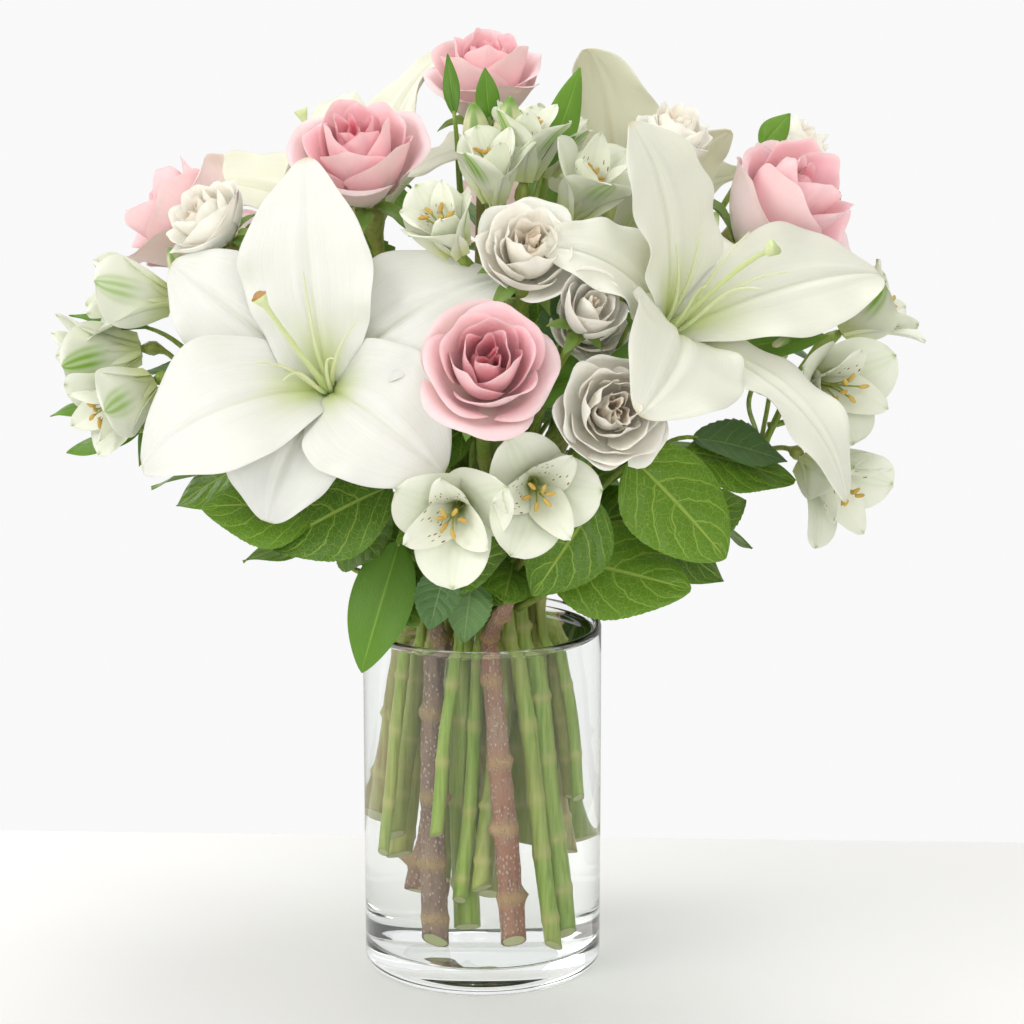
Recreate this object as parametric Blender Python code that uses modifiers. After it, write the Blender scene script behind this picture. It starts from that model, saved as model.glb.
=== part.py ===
"""Lilies, roses, spray roses and alstroemeria standing in a clear glass cylinder of water.

Metres, +Z up. The origin is the middle of the vase's underside, and the front of the
bouquet faces -Y. A bearing is measured from the front (-Y) towards +X, in degrees.
"""

import math

import bmesh
import bpy
from mathutils import Matrix, Vector

# Vase and water
VASE_RADIUS = 0.0508
VASE_HEIGHT = 0.152
VASE_WALL = 0.003
VASE_FLOOR = 0.012
VASE_HEEL = 0.007
WATER_DROP = 0.004
ROUND_STEPS = 36
GAP = 0.0003

# Bouquet: every flower and leaf starts on a dome around a point inside the neck of the vase
DOME_RADIUS = 0.210
DOME_BELOW_RIM = 0.022
NECK_ABOVE_RIM = 0.004
FOOT_HEIGHT = 0.020

# Flowers
LILY_TEPAL = 0.108
LILY_THICKNESS = 0.0009
ROSE_RADIUS = 0.0275
SPRAY_ROSE_RADIUS = 0.0200
FLORET_TEPAL = 0.038
LEAF_THICKNESS = 0.0011

# Stems, as radii
LILY_STEM = 0.0042
ROSE_STEM = 0.0033
SPRAY_STEM = 0.0034
FLORET_STEM = 0.0024
WOODY_STEM = 0.0047

INNER_RADIUS = VASE_RADIUS - VASE_WALL
NECK_HEIGHT = VASE_HEIGHT + NECK_ABOVE_RIM
WATER_TOP = VASE_HEIGHT - WATER_DROP
# The stems are laid out for an inner radius of 47.8 mm and spread with the vase.
SPREAD = INNER_RADIUS / 0.0478

# Each stem: radius, (x, y) at the neck, (x, y) where its line passes FOOT_HEIGHT, and the
# height at which it is cut off, in millimetres
STEMS = {
    "lily_stem_1": (LILY_STEM, (-8, -6), (-5, -8), 22),
    "lily_stem_2": (LILY_STEM, (16, -12), (31, -17), 20),
    "lily_stem_3": (LILY_STEM, (-6, 13), (-12, 26), 46),
    "lily_stem_4": (LILY_STEM, (7, 14), (11, 27), 52),
    "rose_stem_1": (ROSE_STEM, (11, -18), (27, -25), 17),
    "rose_stem_2": (ROSE_STEM, (-6, 4), (-15, 3), 40),
    "rose_stem_3": (ROSE_STEM, (-14, 8), (-27, 14), 48),
    "rose_stem_4": (ROSE_STEM, (22, -1), (35, 3), 76),
    "rose_stem_5": (ROSE_STEM, (1, 4), (2, 12), 32),
    "rose_stem_6": (ROSE_STEM, (1, 23), (-1, 39), 52),
    "rose_stem_7": (ROSE_STEM, (-21, 13), (-31, 25), 62),
    "spray_rose_stem_1": (SPRAY_STEM, (9, -4), (-2, -22), 42),
    "spray_rose_stem_2": (SPRAY_STEM, (-19, -1), (-33, -1), 60),
    "spray_rose_stem_3": (SPRAY_STEM, (15, 6), (27, 12), 50),
    "alstroemeria_stem_1": (FLORET_STEM, (-9, -27), (-22, -33), 68),
    "alstroemeria_stem_2": (FLORET_STEM, (-25, -7), (-40, -12), 54),
    "alstroemeria_stem_3": (FLORET_STEM, (0, -11), (-9, -17), 36),
    "alstroemeria_stem_4": (FLORET_STEM, (25, -8), (41, -9), 78),
    "alstroemeria_stem_5": (FLORET_STEM, (15, 18), (26, 31), 50),
    "woody_stem_1": (WOODY_STEM, (-17, -14), (-17, -18), 18),
    "woody_stem_2": (WOODY_STEM, (2, -24), (12, -30), 21),
    "woody_stem_3": (WOODY_STEM, (-9, 22), (-14, 36), 26),
}

# Each flower: bearing, lean and reach of its base on the dome, the bearing and lift that
# it faces, its turn about that axis, and its size. Reach is a share of the dome's radius.
LILIES = {
    "lily_1": (-39, 35, 0.80, -15, 30, 0, 0.95),
    "lily_2": (42, 34, 0.93, 48, 38, 0, 0.97),
    "lily_3": (-119, 17, 0.90, -60, 60, 0, 0.85),
    "lily_4": (103, 17, 0.91, 150, 46, 0, 0.8),
}
ROSES = {
    "rose_1": (1, 39, 0.89, 4, 35, 0, 0.93),
    "rose_2": (-50, 16, 1.02, -15, 62, 40, 0.98),
    "rose_3": (-86, 30, 0.99, -100, 38, 20, 1.0),
    "rose_4": (80, 30, 1.02, 62, 42, 0, 1.14),
    "rose_5": (176, 5, 1.10, 10, 75, 0, 0.9),
    "rose_6": (175, 38, 0.95, 175, 38, 0, 1.0),
    "rose_7": (-138, 44, 0.96, -140, 30, 30, 0.95),
}
SPRAY_ROSES = {
    "spray_rose_1": (11, 27, 1.0, 5, 42, 0, 1.02),
    "spray_rose_2": (20, 34, 0.96, 20, 38, 0, 0.68),
    "spray_rose_3": (22, 43, 0.88, 12, 18, 0, 1.1),
    "spray_rose_4": (29, 27, 0.85, 25, 30, 0, 0.75),
    "spray_rose_5": (-65, 30, 1.06, -60, 45, 0, 0.88),
    "spray_rose_6": (69, 20, 1.12, 60, 75, 0, 0.82),
    "spray_rose_7": (107, 32, 1.17, 95, 55, 0, 0.85),
}
FLORETS = {
    "alstroemeria_1": [(-4, 47, 0.69, -10, -4, 0, 0.97), (11, 45, 0.72, 8, 0, 30, 0.95)],
    "alstroemeria_2": [
        (-70, 38, 1.02, -85, 5, 0, 0.95),
        (-74, 44, 0.98, -88, -8, 30, 0.95),
        (-66, 46, 0.95, -62, -22, 10, 0.95),
    ],
    "alstroemeria_3": [
        (-5, 24, 1.01, -42, 52, 0, 0.8),
        (6, 15, 1.03, -10, 76, 30, 0.8),
        (22, 12, 1.05, 60, 84, 0, 0.85),
        (36, 17, 1.01, 50, 58, 30, 0.9),
        (58, 8, 1.03, 48, 74, 0, 0.78),
    ],
    "alstroemeria_4": [
        (75, 46, 0.92, 30, 2, 0, 1.0),
        (70, 53, 0.83, 50, -28, 20, 1.0),
        (86, 45, 1.0, 92, 30, 0, 0.9),
    ],
    "alstroemeria_5": [(150, 30, 1.0, 150, 35, 0, 1.0), (126, 46, 1.0, 122, 12, 0, 0.95)],
}

# The tepals of each lily, three inner and broad and then three outer and narrow: turn from
# upright, length, half width, and how far each opens at its base and at its tip, in degrees
TEPALS = {
    "lily_1": (
        ((-4, 0.92, 0.25, 34, 88), (119, 0.86, 0.255, 36, 140), (240, 0.86, 0.25, 36, 126)),
        ((55, 0.84, 0.215, 42, 136), (192, 0.70, 0.20, 46, 150), (302, 0.76, 0.205, 42, 116)),
    ),
    "lily_2": (
        ((-14, 0.86, 0.235, 34, 84), (98, 0.90, 0.22, 36, 100), (240, 0.82, 0.235, 36, 150)),
        ((36, 0.70, 0.17, 42, 104), (166, 1.0, 0.15, 46, 122), (302, 0.85, 0.16, 44, 130)),
    ),
    "lily_3": (
        ((0, 1.0, 0.235, 34, 96), (118, 0.85, 0.22, 20, 58), (240, 0.98, 0.235, 34, 104)),
        ((62, 0.90, 0.175, 44, 100), (172, 0.60, 0.155, 42, 66), (300, 1.0, 0.185, 42, 108)),
    ),
    "lily_4": (
        ((0, 1.0, 0.235, 34, 96), (120, 0.98, 0.23, 36, 108), (238, 0.78, 0.20, 22, 58)),
        ((60, 1.0, 0.185, 44, 112), (180, 0.98, 0.18, 44, 116), (300, 0.80, 0.17, 38, 78)),
    ),
}


def clear_scene():
    for item in list(bpy.data.objects):
        bpy.data.objects.remove(item, do_unlink=True)


def collection(name):
    made = bpy.data.collections.new(name)
    bpy.context.scene.collection.children.link(made)
    return made


def material(name, colour, roughness, transmission=0.0):
    made = bpy.data.materials.new(name)
    made.use_nodes = True
    shader = made.node_tree.nodes["Principled BSDF"]
    shader.inputs["Base Color"].default_value = (*colour, 1.0)
    shader.inputs["Roughness"].default_value = roughness
    shader.inputs["Metallic"].default_value = 0.0
    shader.inputs["Transmission Weight"].default_value = transmission
    return made


def add_object(name, mesh, group, finish):
    made = bpy.data.objects.new(name, mesh)
    made.data.materials.append(finish)
    group.objects.link(made)
    return made


def mesh_from(bm, name):
    bmesh.ops.recalc_face_normals(bm, faces=bm.faces)
    mesh = bpy.data.meshes.new(name)
    bm.to_mesh(mesh)
    bm.free()
    return mesh


def direction(bearing, lift):
    """Unit vector from a bearing and a lift above the horizontal, both in degrees."""
    turn = math.radians(bearing)
    rise = math.radians(lift)
    return Vector((math.sin(turn) * math.cos(rise), -math.cos(turn) * math.cos(rise), math.sin(rise)))


def on_dome(bearing, lean, reach):
    middle = Vector((0.0, 0.0, VASE_HEIGHT - DOME_BELOW_RIM))
    return middle + direction(bearing, 90.0 - lean) * reach * DOME_RADIUS


def face_frame(base, axis, roll):
    """Matrix of a flower: +Z along its axis and +Y as near upright as it can be."""
    up = Vector((0.0, 0.0, 1.0)) - axis * axis.z
    up.normalize()
    side = up.cross(axis)
    turned = Matrix((side, up, axis)).transposed().to_4x4()
    return Matrix.Translation(base) @ turned @ Matrix.Rotation(-math.radians(roll), 4, "Z")


def curve_points(start, start_way, end, end_way, shares):
    """Points on a cubic from start to end that leaves and arrives along the two ways."""
    reach = (end - start).length * 0.42
    first = start + start_way * reach
    second = end - end_way * reach
    points = []
    for share in shares:
        left = 1.0 - share
        point = start * left**3 + first * (3 * left**2 * share)
        point = point + second * (3 * left * share**2) + end * share**3
        points.append(point)
    return points


def ring_frames(points, hint):
    """A side and an up vector for each point of a path, square to it and without twist."""
    frames = []
    side = hint
    for index, point in enumerate(points):
        ahead = points[min(index + 1, len(points) - 1)]
        behind = points[max(index - 1, 0)]
        way = (ahead - behind).normalized()
        side = (side - way * side.dot(way)).normalized()
        frames.append((side.copy(), way.cross(side)))
    return frames


def grow(bm, face, sections):
    """Extrude one face through a row of cross-sections, each a centre, a side and an up."""
    count = len(face.verts)
    for centre, side, up in sections:
        grown = bmesh.ops.extrude_discrete_faces(bm, faces=[face])
        face = grown["faces"][0]
        middle = face.calc_center_median()
        targets = []
        for index in range(count):
            angle = 2 * math.pi * index / count
            targets.append(centre + side * math.cos(angle) + up * math.sin(angle))
        if side.cross(up).dot(face.normal) < 0:
            targets.reverse()
        moved = [vert.co - middle + centre for vert in face.verts]
        best = None
        for shift in range(count):
            cost = sum((targets[(i + shift) % count] - moved[i]).length_squared for i in range(count))
            if best is None or cost < best[0]:
                best = (cost, shift)
        for index, vert in enumerate(face.verts):
            vert.co = targets[(index + best[1]) % count]
        face.normal_update()
    return face


def tube_sections(points, radii, hint):
    frames = ring_frames(points, hint)
    sections = []
    for point, radius, (side, up) in zip(points, radii, frames):
        sections.append((point, side * radius, up * radius))
    return sections


def start_disc(bm, centre, way, radius, count, hint=Vector((1.0, 0.0, 0.0))):
    """A flat disc, the first face of a grown tube, that faces along the way."""
    side = (hint - way * hint.dot(way)).normalized()
    turn = Matrix((side, way.cross(side), way)).transposed().to_4x4()
    place = Matrix.Translation(centre) @ turn @ Matrix.Rotation(math.radians(90), 4, "Z")
    made = bmesh.ops.create_circle(bm, cap_ends=True, segments=count, radius=radius, matrix=place)
    face = made["verts"][0].link_faces[0]
    face.normal_update()
    if face.normal.dot(way) < 0:
        face.normal_flip()
        face.normal_update()
    return face


def close_foot(bm):
    """Fill the open end that a tube leaves where its first disc was lifted away."""
    edges = [edge for edge in bm.edges if edge.is_boundary]
    if edges:
        bmesh.ops.edgeloop_fill(bm, edges=edges)


def side_face(bm, near, way):
    """The short side face of a stem that is closest to a point and looks along a way."""
    best = None
    for face in bm.faces:
        if len(face.verts) != 4:
            continue
        face.normal_update()
        score = (face.calc_center_median() - near).length - 0.006 * face.normal.dot(way)
        if best is None or score < best[0]:
            best = (score, face)
    return best[1]


def leaf_shape(share, point):
    """Half width of a leaf along its length, as a share: point sharpens the tip."""
    return math.sin(math.pi * share**0.8) ** point


def add_leaf(bm, stem_point, leaf):
    """A stalk from the stem and a blade with a midrib. See LEAVES for the numbers."""
    base, way, facing, length, half_width, droop, point = leaf
    face = side_face(bm, stem_point, (base - stem_point).normalized())
    begin = face.calc_center_median()
    stalk = curve_points(begin, face.normal.copy(), base, way, (0.35, 0.7, 1.0))
    sections = tube_sections(stalk, (0.0010, 0.0009, 0.0009), way.cross(facing))
    here = base
    steps = 6
    for index in range(1, steps + 1):
        share = index / steps
        bend = Matrix.Rotation(-math.radians(droop) * share, 3, way.cross(facing).normalized())
        heading = bend @ way
        here = here + heading * (length / steps)
        across = heading.cross(facing).normalized()
        top = across.cross(heading)
        half = max(half_width * leaf_shape(share, point), 0.0006)
        sections.append((here.copy(), across * half, top * LEAF_THICKNESS / 2))
    grow(bm, face, sections)


def stem_line(name):
    """A stem's radius, its cut foot, where it passes the neck, and the way from foot to neck."""
    radius, neck, foot, cut = STEMS[name]
    low = Vector((foot[0] * SPREAD / 1000, foot[1] * SPREAD / 1000, FOOT_HEIGHT))
    high = Vector((neck[0] * SPREAD / 1000, neck[1] * SPREAD / 1000, NECK_HEIGHT))
    low = low.lerp(high, (cut / 1000 - FOOT_HEIGHT) / (NECK_HEIGHT - FOOT_HEIGHT))
    return radius, low, high, (high - low).normalized()


def stem_path(name, end, end_way, marks):
    """The straight part inside the vase and the bend above it, with short runs at the marks."""
    radius, low, high, way = stem_line(name)
    shares = [0.22, 0.45, 0.68, 1.0]
    for mark in marks:
        shares = [share for share in shares if abs(share - mark) > 0.06]
        shares += [mark - 0.025, mark + 0.025]
    shares.sort()
    points = [low, low.lerp(high, 0.5), high]
    points += curve_points(high, way, end - end_way * radius, end_way, shares)
    points.append(end)
    return radius, points, way


def bare_stem(name, end, end_way, marks=(), cup=1.0, thin=0.75):
    """Grow a stem from its cut foot up to a flower's base, where it may widen into a cup."""
    radius, points, way = stem_path(name, end, end_way, marks)
    bm = bmesh.new()
    face = start_disc(bm, points[0], way, radius, 6)
    radii = []
    for index in range(1, len(points)):
        radii.append(radius * (1.0 - (1.0 - thin) * index / (len(points) - 1)))
    radii[-1] = radius * cup
    grow(bm, face, tube_sections(points[1:], radii, Vector((1.0, 0.0, 0.0))))
    return bm, points


def stem_cutter(name, group):
    """The part of a stem under water, swelled by the gap, to cut its place in the water."""
    radius, low, high, way = stem_line(name)
    bm = bmesh.new()
    swelled = radius + 1.3 * GAP
    face = start_disc(bm, low - way * GAP, way, swelled, 6)
    points = [low.lerp(high, 0.5), high, high + way * 0.004]
    grow(bm, face, tube_sections(points, [swelled] * 3, Vector((1.0, 0.0, 0.0))))
    close_foot(bm)
    cutter = bpy.data.objects.new(name + "_cutter", mesh_from(bm, name + "_cutter"))
    cutter.hide_render = True
    cutter.display_type = "WIRE"
    group.objects.link(cutter)
    return cutter


def turned(name, profile, group, finish):
    """Screw a profile of (radius, height) points round the upright axis."""
    bm = bmesh.new()
    verts = [bm.verts.new((radius, 0.0, height)) for radius, height in profile]
    for first, second in zip(verts, verts[1:]):
        bm.edges.new((first, second))
    mesh = bpy.data.meshes.new(name)
    bm.to_mesh(mesh)
    bm.free()
    made = add_object(name, mesh, group, finish)
    screw = made.modifiers.new("Screw", "SCREW")
    screw.steps = ROUND_STEPS
    screw.render_steps = ROUND_STEPS
    screw.use_merge_vertices = True
    screw.merge_threshold = 0.00005
    return made


def build_vase(group, finish):
    half = VASE_WALL / 2
    inner = INNER_RADIUS
    fillet = 0.004
    profile = [(0.0, VASE_FLOOR), (inner - fillet, VASE_FLOOR)]
    profile.append((inner - fillet * 0.3, VASE_FLOOR + fillet * 0.3))
    profile.append((inner, VASE_FLOOR + fillet))
    for angle in (180, 90, 0):
        turn = math.radians(angle)
        profile.append((inner + half + half * math.cos(turn), VASE_HEIGHT - half + half * math.sin(turn)))
    for angle in (0, 45, 90):
        turn = math.radians(angle)
        across = VASE_RADIUS - VASE_HEEL + VASE_HEEL * math.cos(turn)
        profile.append((across, VASE_HEEL - VASE_HEEL * math.sin(turn)))
    profile.append((0.0, 0.0))
    return turned("vase", profile, group, finish)


def build_water(group, cutters, finish):
    inner = INNER_RADIUS - GAP
    low = VASE_FLOOR + GAP
    fillet = 0.004
    profile = [(0.0, WATER_TOP), (inner, WATER_TOP), (inner, low + fillet)]
    profile.append((inner - fillet * 0.3, low + fillet * 0.3))
    profile.append((inner - fillet, low))
    profile.append((0.0, low))
    water = turned("water", profile, group, finish)
    for name in STEMS:
        stem_cutter(name, cutters)
    cut = water.modifiers.new("Room for the stems", "BOOLEAN")
    cut.operation = "DIFFERENCE"
    cut.operand_type = "COLLECTION"
    cut.collection = cutters
    cut.solver = "EXACT"
    return water


def tepal_width(share, blunt):
    """Half width along a tepal, as a share of the widest: narrow claw, broad middle, tip."""
    swell = math.sin(math.pi * min(1.0, 0.10 + 0.90 * share)) ** blunt
    return max(swell * (0.55 + 0.45 * math.sin(math.pi * share)), 0.07)


def tepal_rows(rows, start_radius, turn, length, half_width, opening, tip, cup):
    """Rows of points across one tepal, from its claw to its tip, about a +Z axis."""
    heading = Vector((math.sin(math.radians(turn)), math.cos(math.radians(turn)), 0.0))
    across = Vector((heading.y, -heading.x, 0.0))
    out = start_radius
    rise = 0.0015
    made = []
    for index in range(1, rows + 1):
        share = index / rows
        angle = math.radians(opening + (tip - opening) * (share - 0.5 / rows) ** 1.5)
        out += length / rows * math.sin(angle)
        rise += length / rows * math.cos(angle)
        half = half_width * tepal_width(share, 0.75)
        inward = Vector((0.0, 0.0, math.sin(angle))) - heading * math.cos(angle)
        row = []
        for place in (-1.0, -0.5, 0.0, 0.5, 1.0):
            point = heading * out + Vector((0.0, 0.0, rise)) + across * half * place
            row.append(point + inward * half * cup * place**2)
        made.append(row)
    return made


def build_whorl(name, tepals, radius, floor, size, cup, group, finish):
    """Three tepals that spring from one small collar, as a sheet with Solidify."""
    bm = bmesh.new()
    made = bmesh.ops.create_circle(bm, cap_ends=True, segments=12, radius=radius * 0.8)
    base = sorted(made["verts"], key=lambda vert: math.atan2(vert.co.x, vert.co.y))
    for vert in base:
        vert.co.z = floor
    loop = [edge for edge in bm.edges if edge.is_boundary]
    raised = bmesh.ops.extrude_edge_only(bm, edges=loop)["geom"]
    ring = [item for item in raised if isinstance(item, bmesh.types.BMVert)]
    for vert in ring:
        flat = Vector((vert.co.x, vert.co.y, 0.0)).normalized() * radius
        vert.co = Vector((flat.x, flat.y, floor + 0.0015))
    ring.sort(key=lambda vert: math.atan2(vert.co.x, vert.co.y) % (2 * math.pi))
    shift = round(tepals[0][0] / 30.0) - 2
    for index, (turn, length, half_width, opening, tip) in enumerate(tepals):
        first = (shift + 4 * index) % 12
        verts = [ring[(first + step) % 12] for step in range(5)]
        rows = tepal_rows(5, radius, turn, length * size, half_width * size, opening, tip, cup)
        for row in rows:
            edges = [bm.edges.get((one, two)) for one, two in zip(verts, verts[1:])]
            grown = bmesh.ops.extrude_edge_only(bm, edges=edges)["geom"]
            fresh = [item for item in grown if isinstance(item, bmesh.types.BMVert)]
            verts = [min(fresh, key=lambda item: (item.co - vert.co).length) for vert in verts]
            for vert, point in zip(verts, row):
                vert.co = point + Vector((0.0, 0.0, floor))
    whorl = add_object(name, mesh_from(bm, name), group, finish)
    shell = whorl.modifiers.new("Petal thickness", "SOLIDIFY")
    shell.thickness = LILY_THICKNESS
    shell.offset = 0.0
    return whorl


def build_lily_centre(name, size, group, finish):
    """The pistil, with its swollen stigma, and six stamens on one small hub."""
    bm = bmesh.new()
    place = Matrix.Translation((0.0, 0.0, 0.0042))
    bmesh.ops.create_cone(
        bm, cap_ends=True, segments=6, radius1=0.0016, radius2=0.0016, depth=0.003, matrix=place
    )
    bm.normal_update()
    top = max(bm.faces, key=lambda face: face.calc_center_median().z)
    sides = [face for face in bm.faces if len(face.verts) == 4]
    up = Vector((0.0, 0.0, 1.0))
    bend = Vector((-0.012, 0.004, 0.074)) * size
    style = curve_points(Vector((0.0, 0.0, 0.0057)), up, bend, Vector((-0.5, 0.2, 0.85)).normalized(),
                         (0.25, 0.5, 0.75, 0.95, 1.0))
    grow(bm, top, tube_sections(style, (0.0012, 0.0010, 0.0010, 0.0013, 0.0030), Vector((1.0, 0.0, 0.0))))
    for face in sides:
        out = face.normal.copy()
        begin = face.calc_center_median()
        end = begin + (out * 0.020 + up * 0.052) * size
        way = (out * 0.55 + up).normalized()
        points = curve_points(begin, (out * 0.5 + up).normalized(), end, way, (0.08, 0.4, 0.7, 1.0))
        grow(bm, face, tube_sections(points, (0.0007, 0.0006, 0.0005, 0.0006), out.cross(up)))
    return add_object(name, mesh_from(bm, name), group, finish)


def build_lily(name, row, group, finishes):
    bearing, lean, reach, facing, lift, roll, size = row
    base = on_dome(bearing, lean, reach)
    axis = direction(facing, lift)
    frame = face_frame(base, axis, roll)
    length = LILY_TEPAL * size
    broad, narrow = TEPALS[name]
    outer = build_whorl(name + "_outer_tepals", narrow, 0.0052, 0.0, length, 0.10, group, finishes["lily"])
    inner = build_whorl(name + "_inner_tepals", broad, 0.0034, 0.0018, length, 0.16, group, finishes["lily"])
    centre = build_lily_centre(name + "_pistil_and_stamens", size, group, finishes["pistil"])
    for piece in (outer, inner, centre):
        piece.matrix_world = frame
    return base, axis


def build_head(name, row, radius, steps, profile, group, finish):
    """A many-petalled head: rings of petal rims and folds, each rim waved into five petals."""
    bearing, lean, reach, facing, lift, roll, size = row
    base = on_dome(bearing, lean, reach)
    axis = direction(facing, lift)
    bm = bmesh.new()
    face = start_disc(bm, Vector((0.0, 0.0, 0.0)), Vector((0.0, 0.0, 1.0)), 0.12 * radius * size, steps)
    rings = [list(face.verts)]
    bmesh.ops.reverse_faces(bm, faces=[face])
    for index, (out, rise, wave) in enumerate(profile):
        last = rings[-1]
        edges = [bm.edges.get((last[i], last[(i + 1) % steps])) for i in range(steps)]
        grown = bmesh.ops.extrude_edge_only(bm, edges=edges)["geom"]
        fresh = [item for item in grown if isinstance(item, bmesh.types.BMVert)]
        ring = [min(fresh, key=lambda item: (item.co - vert.co).length) for vert in last]
        for step, vert in enumerate(ring):
            turn = 2 * math.pi * step / steps
            swell = 1.0 + wave * math.cos(5 * turn / 2 * (steps % 2 + 1) + index)
            vert.co = Vector((math.cos(turn) * out * swell, math.sin(turn) * out * swell, rise * swell))
            vert.co *= radius * size
        rings.append(ring)
    bmesh.ops.edgeloop_fill(bm, edges=[edge for edge in bm.edges if edge.is_boundary])
    head = add_object(name, mesh_from(bm, name), group, finish)
    head.matrix_world = face_frame(base + axis * 3 * GAP, axis, roll)
    return base, axis


# Rings of a rose head as shares of its radius: distance out, height, and wave of the rim
ROSE_PROFILE = (
    (0.52, 0.10, 0.0), (0.88, 0.50, 0.0), (0.98, 0.90, 0.02), (1.03, 1.14, 0.06), (0.84, 1.04, 0.02),
    (0.72, 1.32, 0.05), (0.55, 1.14, 0.02), (0.44, 1.42, 0.05), (0.26, 1.20, 0.0), (0.16, 1.38, 0.0),
)
SPRAY_PROFILE = (
    (0.60, 0.12, 0.0), (0.97, 0.60, 0.02), (1.02, 0.98, 0.06), (0.74, 0.90, 0.02),
    (0.56, 1.14, 0.06), (0.34, 0.96, 0.02), (0.16, 1.12, 0.0),
)


def build_floret(name, row, hub, group):
    """One floret with its stalk back to the umbel: six tepals grown from a six-sided cup."""
    bearing, lean, reach, facing, lift, roll, size = row
    base = on_dome(bearing, lean, reach)
    axis = direction(facing, lift)
    frame = face_frame(base, axis, roll)
    length = FLORET_TEPAL * size
    bm = bmesh.new()
    bmesh.ops.create_cone(
        bm, cap_ends=True, segments=6, radius1=0.0016, radius2=0.0024, depth=0.004, matrix=frame
    )
    bm.normal_update()
    bottom = min(bm.faces, key=lambda face: (face.calc_center_median() - base).dot(axis))
    sides = [face for face in bm.faces if len(face.verts) == 4]
    away = (hub - base).normalized()
    stalk = curve_points(bottom.calc_center_median(), -axis, hub, away, (0.35, 0.7, 1.0))
    side = axis.cross(away)
    if side.length < 0.01:
        side = axis.orthogonal()
    grow(bm, bottom, tube_sections(stalk, (0.0012, 0.0012, 0.0012), side.normalized()))
    for index, face in enumerate(sides):
        out = face.normal.copy()
        out = (out - axis * out.dot(axis)).normalized()
        across = out.cross(axis)
        wide = index % 2 == 0
        opening, tip, half_width = (34, 74, 0.23) if wide else (14, 62, 0.14)
        here = face.calc_center_median()
        sections = []
        steps = 3
        for step in range(1, steps + 1):
            share = step / steps
            angle = math.radians(opening + (tip - opening) * share)
            here = here + (out * math.sin(angle) + axis * math.cos(angle)) * (length / steps)
            top = axis * math.sin(angle) - out * math.cos(angle)
            half = max(half_width * length * math.sin(math.pi * (0.08 + 0.87 * share)) ** 0.7, 0.001)
            sections.append((here.copy(), across * half, top * 0.0005))
        grow(bm, face, sections)
    made = bpy.data.objects.new(name, mesh_from(bm, name))
    made.hide_render = True
    made.display_type = "WIRE"
    group.objects.link(made)


def build_umbel(name, rows, hub, group, cutters, finish):
    """The florets of one alstroemeria stem, joined at a small knob where their stalks meet."""
    bm = bmesh.new()
    bmesh.ops.create_icosphere(bm, subdivisions=1, radius=0.0032, matrix=Matrix.Translation(hub))
    knob = add_object(name + "_florets", mesh_from(bm, name), group, finish)
    joined = bpy.data.collections.new(name + "_florets_to_join")
    cutters.children.link(joined)
    for index, row in enumerate(rows):
        build_floret(f"{name}_floret_{index + 1}", row, hub, joined)
    union = knob.modifiers.new("Join the florets", "BOOLEAN")
    union.operation = "UNION"
    union.operand_type = "COLLECTION"
    union.collection = joined
    union.solver = "EXACT"


def finish_stem(name, bm, group, finish):
    close_foot(bm)
    return add_object(name, mesh_from(bm, name), group, finish)


def build_forked_stem(name, heads, fork_share, group, finish):
    """A stem to the first head, with a side branch to each of the others."""
    first_base, first_axis = heads[0]
    marks = [fork_share + 0.13 * index for index in range(len(heads) - 1)]
    bm, points = bare_stem(name, first_base, first_axis, marks, 1.5)
    high, way = stem_line(name)[2:]
    for mark, (base, axis) in zip(marks, heads[1:]):
        fork = curve_points(high, way, first_base, first_axis, (mark,))[0]
        face = side_face(bm, fork, (base - fork).normalized())
        begin = face.calc_center_median()
        leave = (face.normal + (base - begin).normalized()).normalized()
        branch = curve_points(begin, leave, base, axis, (0.25, 0.55, 0.85, 1.0))
        grow(bm, face, tube_sections(branch, (0.0017, 0.0016, 0.0017, 0.0042), way.cross(leave)))
    return finish_stem(name, bm, group, finish)


clear_scene()
PARTS = collection("lilies_in_a_vase")
CUTTERS = collection("cutters")
FINISHES = {
    "glass": material("clear glass", (0.97, 0.99, 0.98), 0.02, 1.0),
    "water": material("water", (0.98, 0.99, 0.98), 0.0, 1.0),
    "lily": material("white lily tepal", (0.90, 0.90, 0.82), 0.45),
    "pistil": material("green pistil", (0.62, 0.72, 0.36), 0.4),
    "pink": material("pink rose petal", (0.86, 0.47, 0.47), 0.5),
    "cream": material("cream spray rose petal", (0.88, 0.82, 0.68), 0.5),
    "floret": material("white alstroemeria petal", (0.88, 0.90, 0.76), 0.45),
    "green stem": material("green stem", (0.24, 0.36, 0.07), 0.45),
    "brown bark": material("brown bark", (0.22, 0.13, 0.08), 0.75),
    "leaf": material("dark green leaf", (0.06, 0.16, 0.03), 0.4),
}

build_vase(PARTS, FINISHES["glass"])
WATER_CUTTERS = bpy.data.collections.new("stem_cutters")
CUTTERS.children.link(WATER_CUTTERS)
build_water(PARTS, WATER_CUTTERS, FINISHES["water"])

for number, (flower, numbers) in enumerate(LILIES.items(), 1):
    foot_of, way_of = build_lily(flower, numbers, PARTS, FINISHES)
    grown_stem, _ = bare_stem(f"lily_stem_{number}", foot_of - way_of * 4 * GAP, way_of, (), 1.0, 0.8)
    finish_stem(f"lily_stem_{number}", grown_stem, PARTS, FINISHES["green stem"])

for number, (flower, numbers) in enumerate(ROSES.items(), 1):
    foot_of, way_of = build_head(flower, numbers, ROSE_RADIUS, 15, ROSE_PROFILE, PARTS, FINISHES["pink"])
    grown_stem, _ = bare_stem(f"rose_stem_{number}", foot_of, way_of, (), 1.9)
    finish_stem(f"rose_stem_{number}", grown_stem, PARTS, FINISHES["green stem"])

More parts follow.
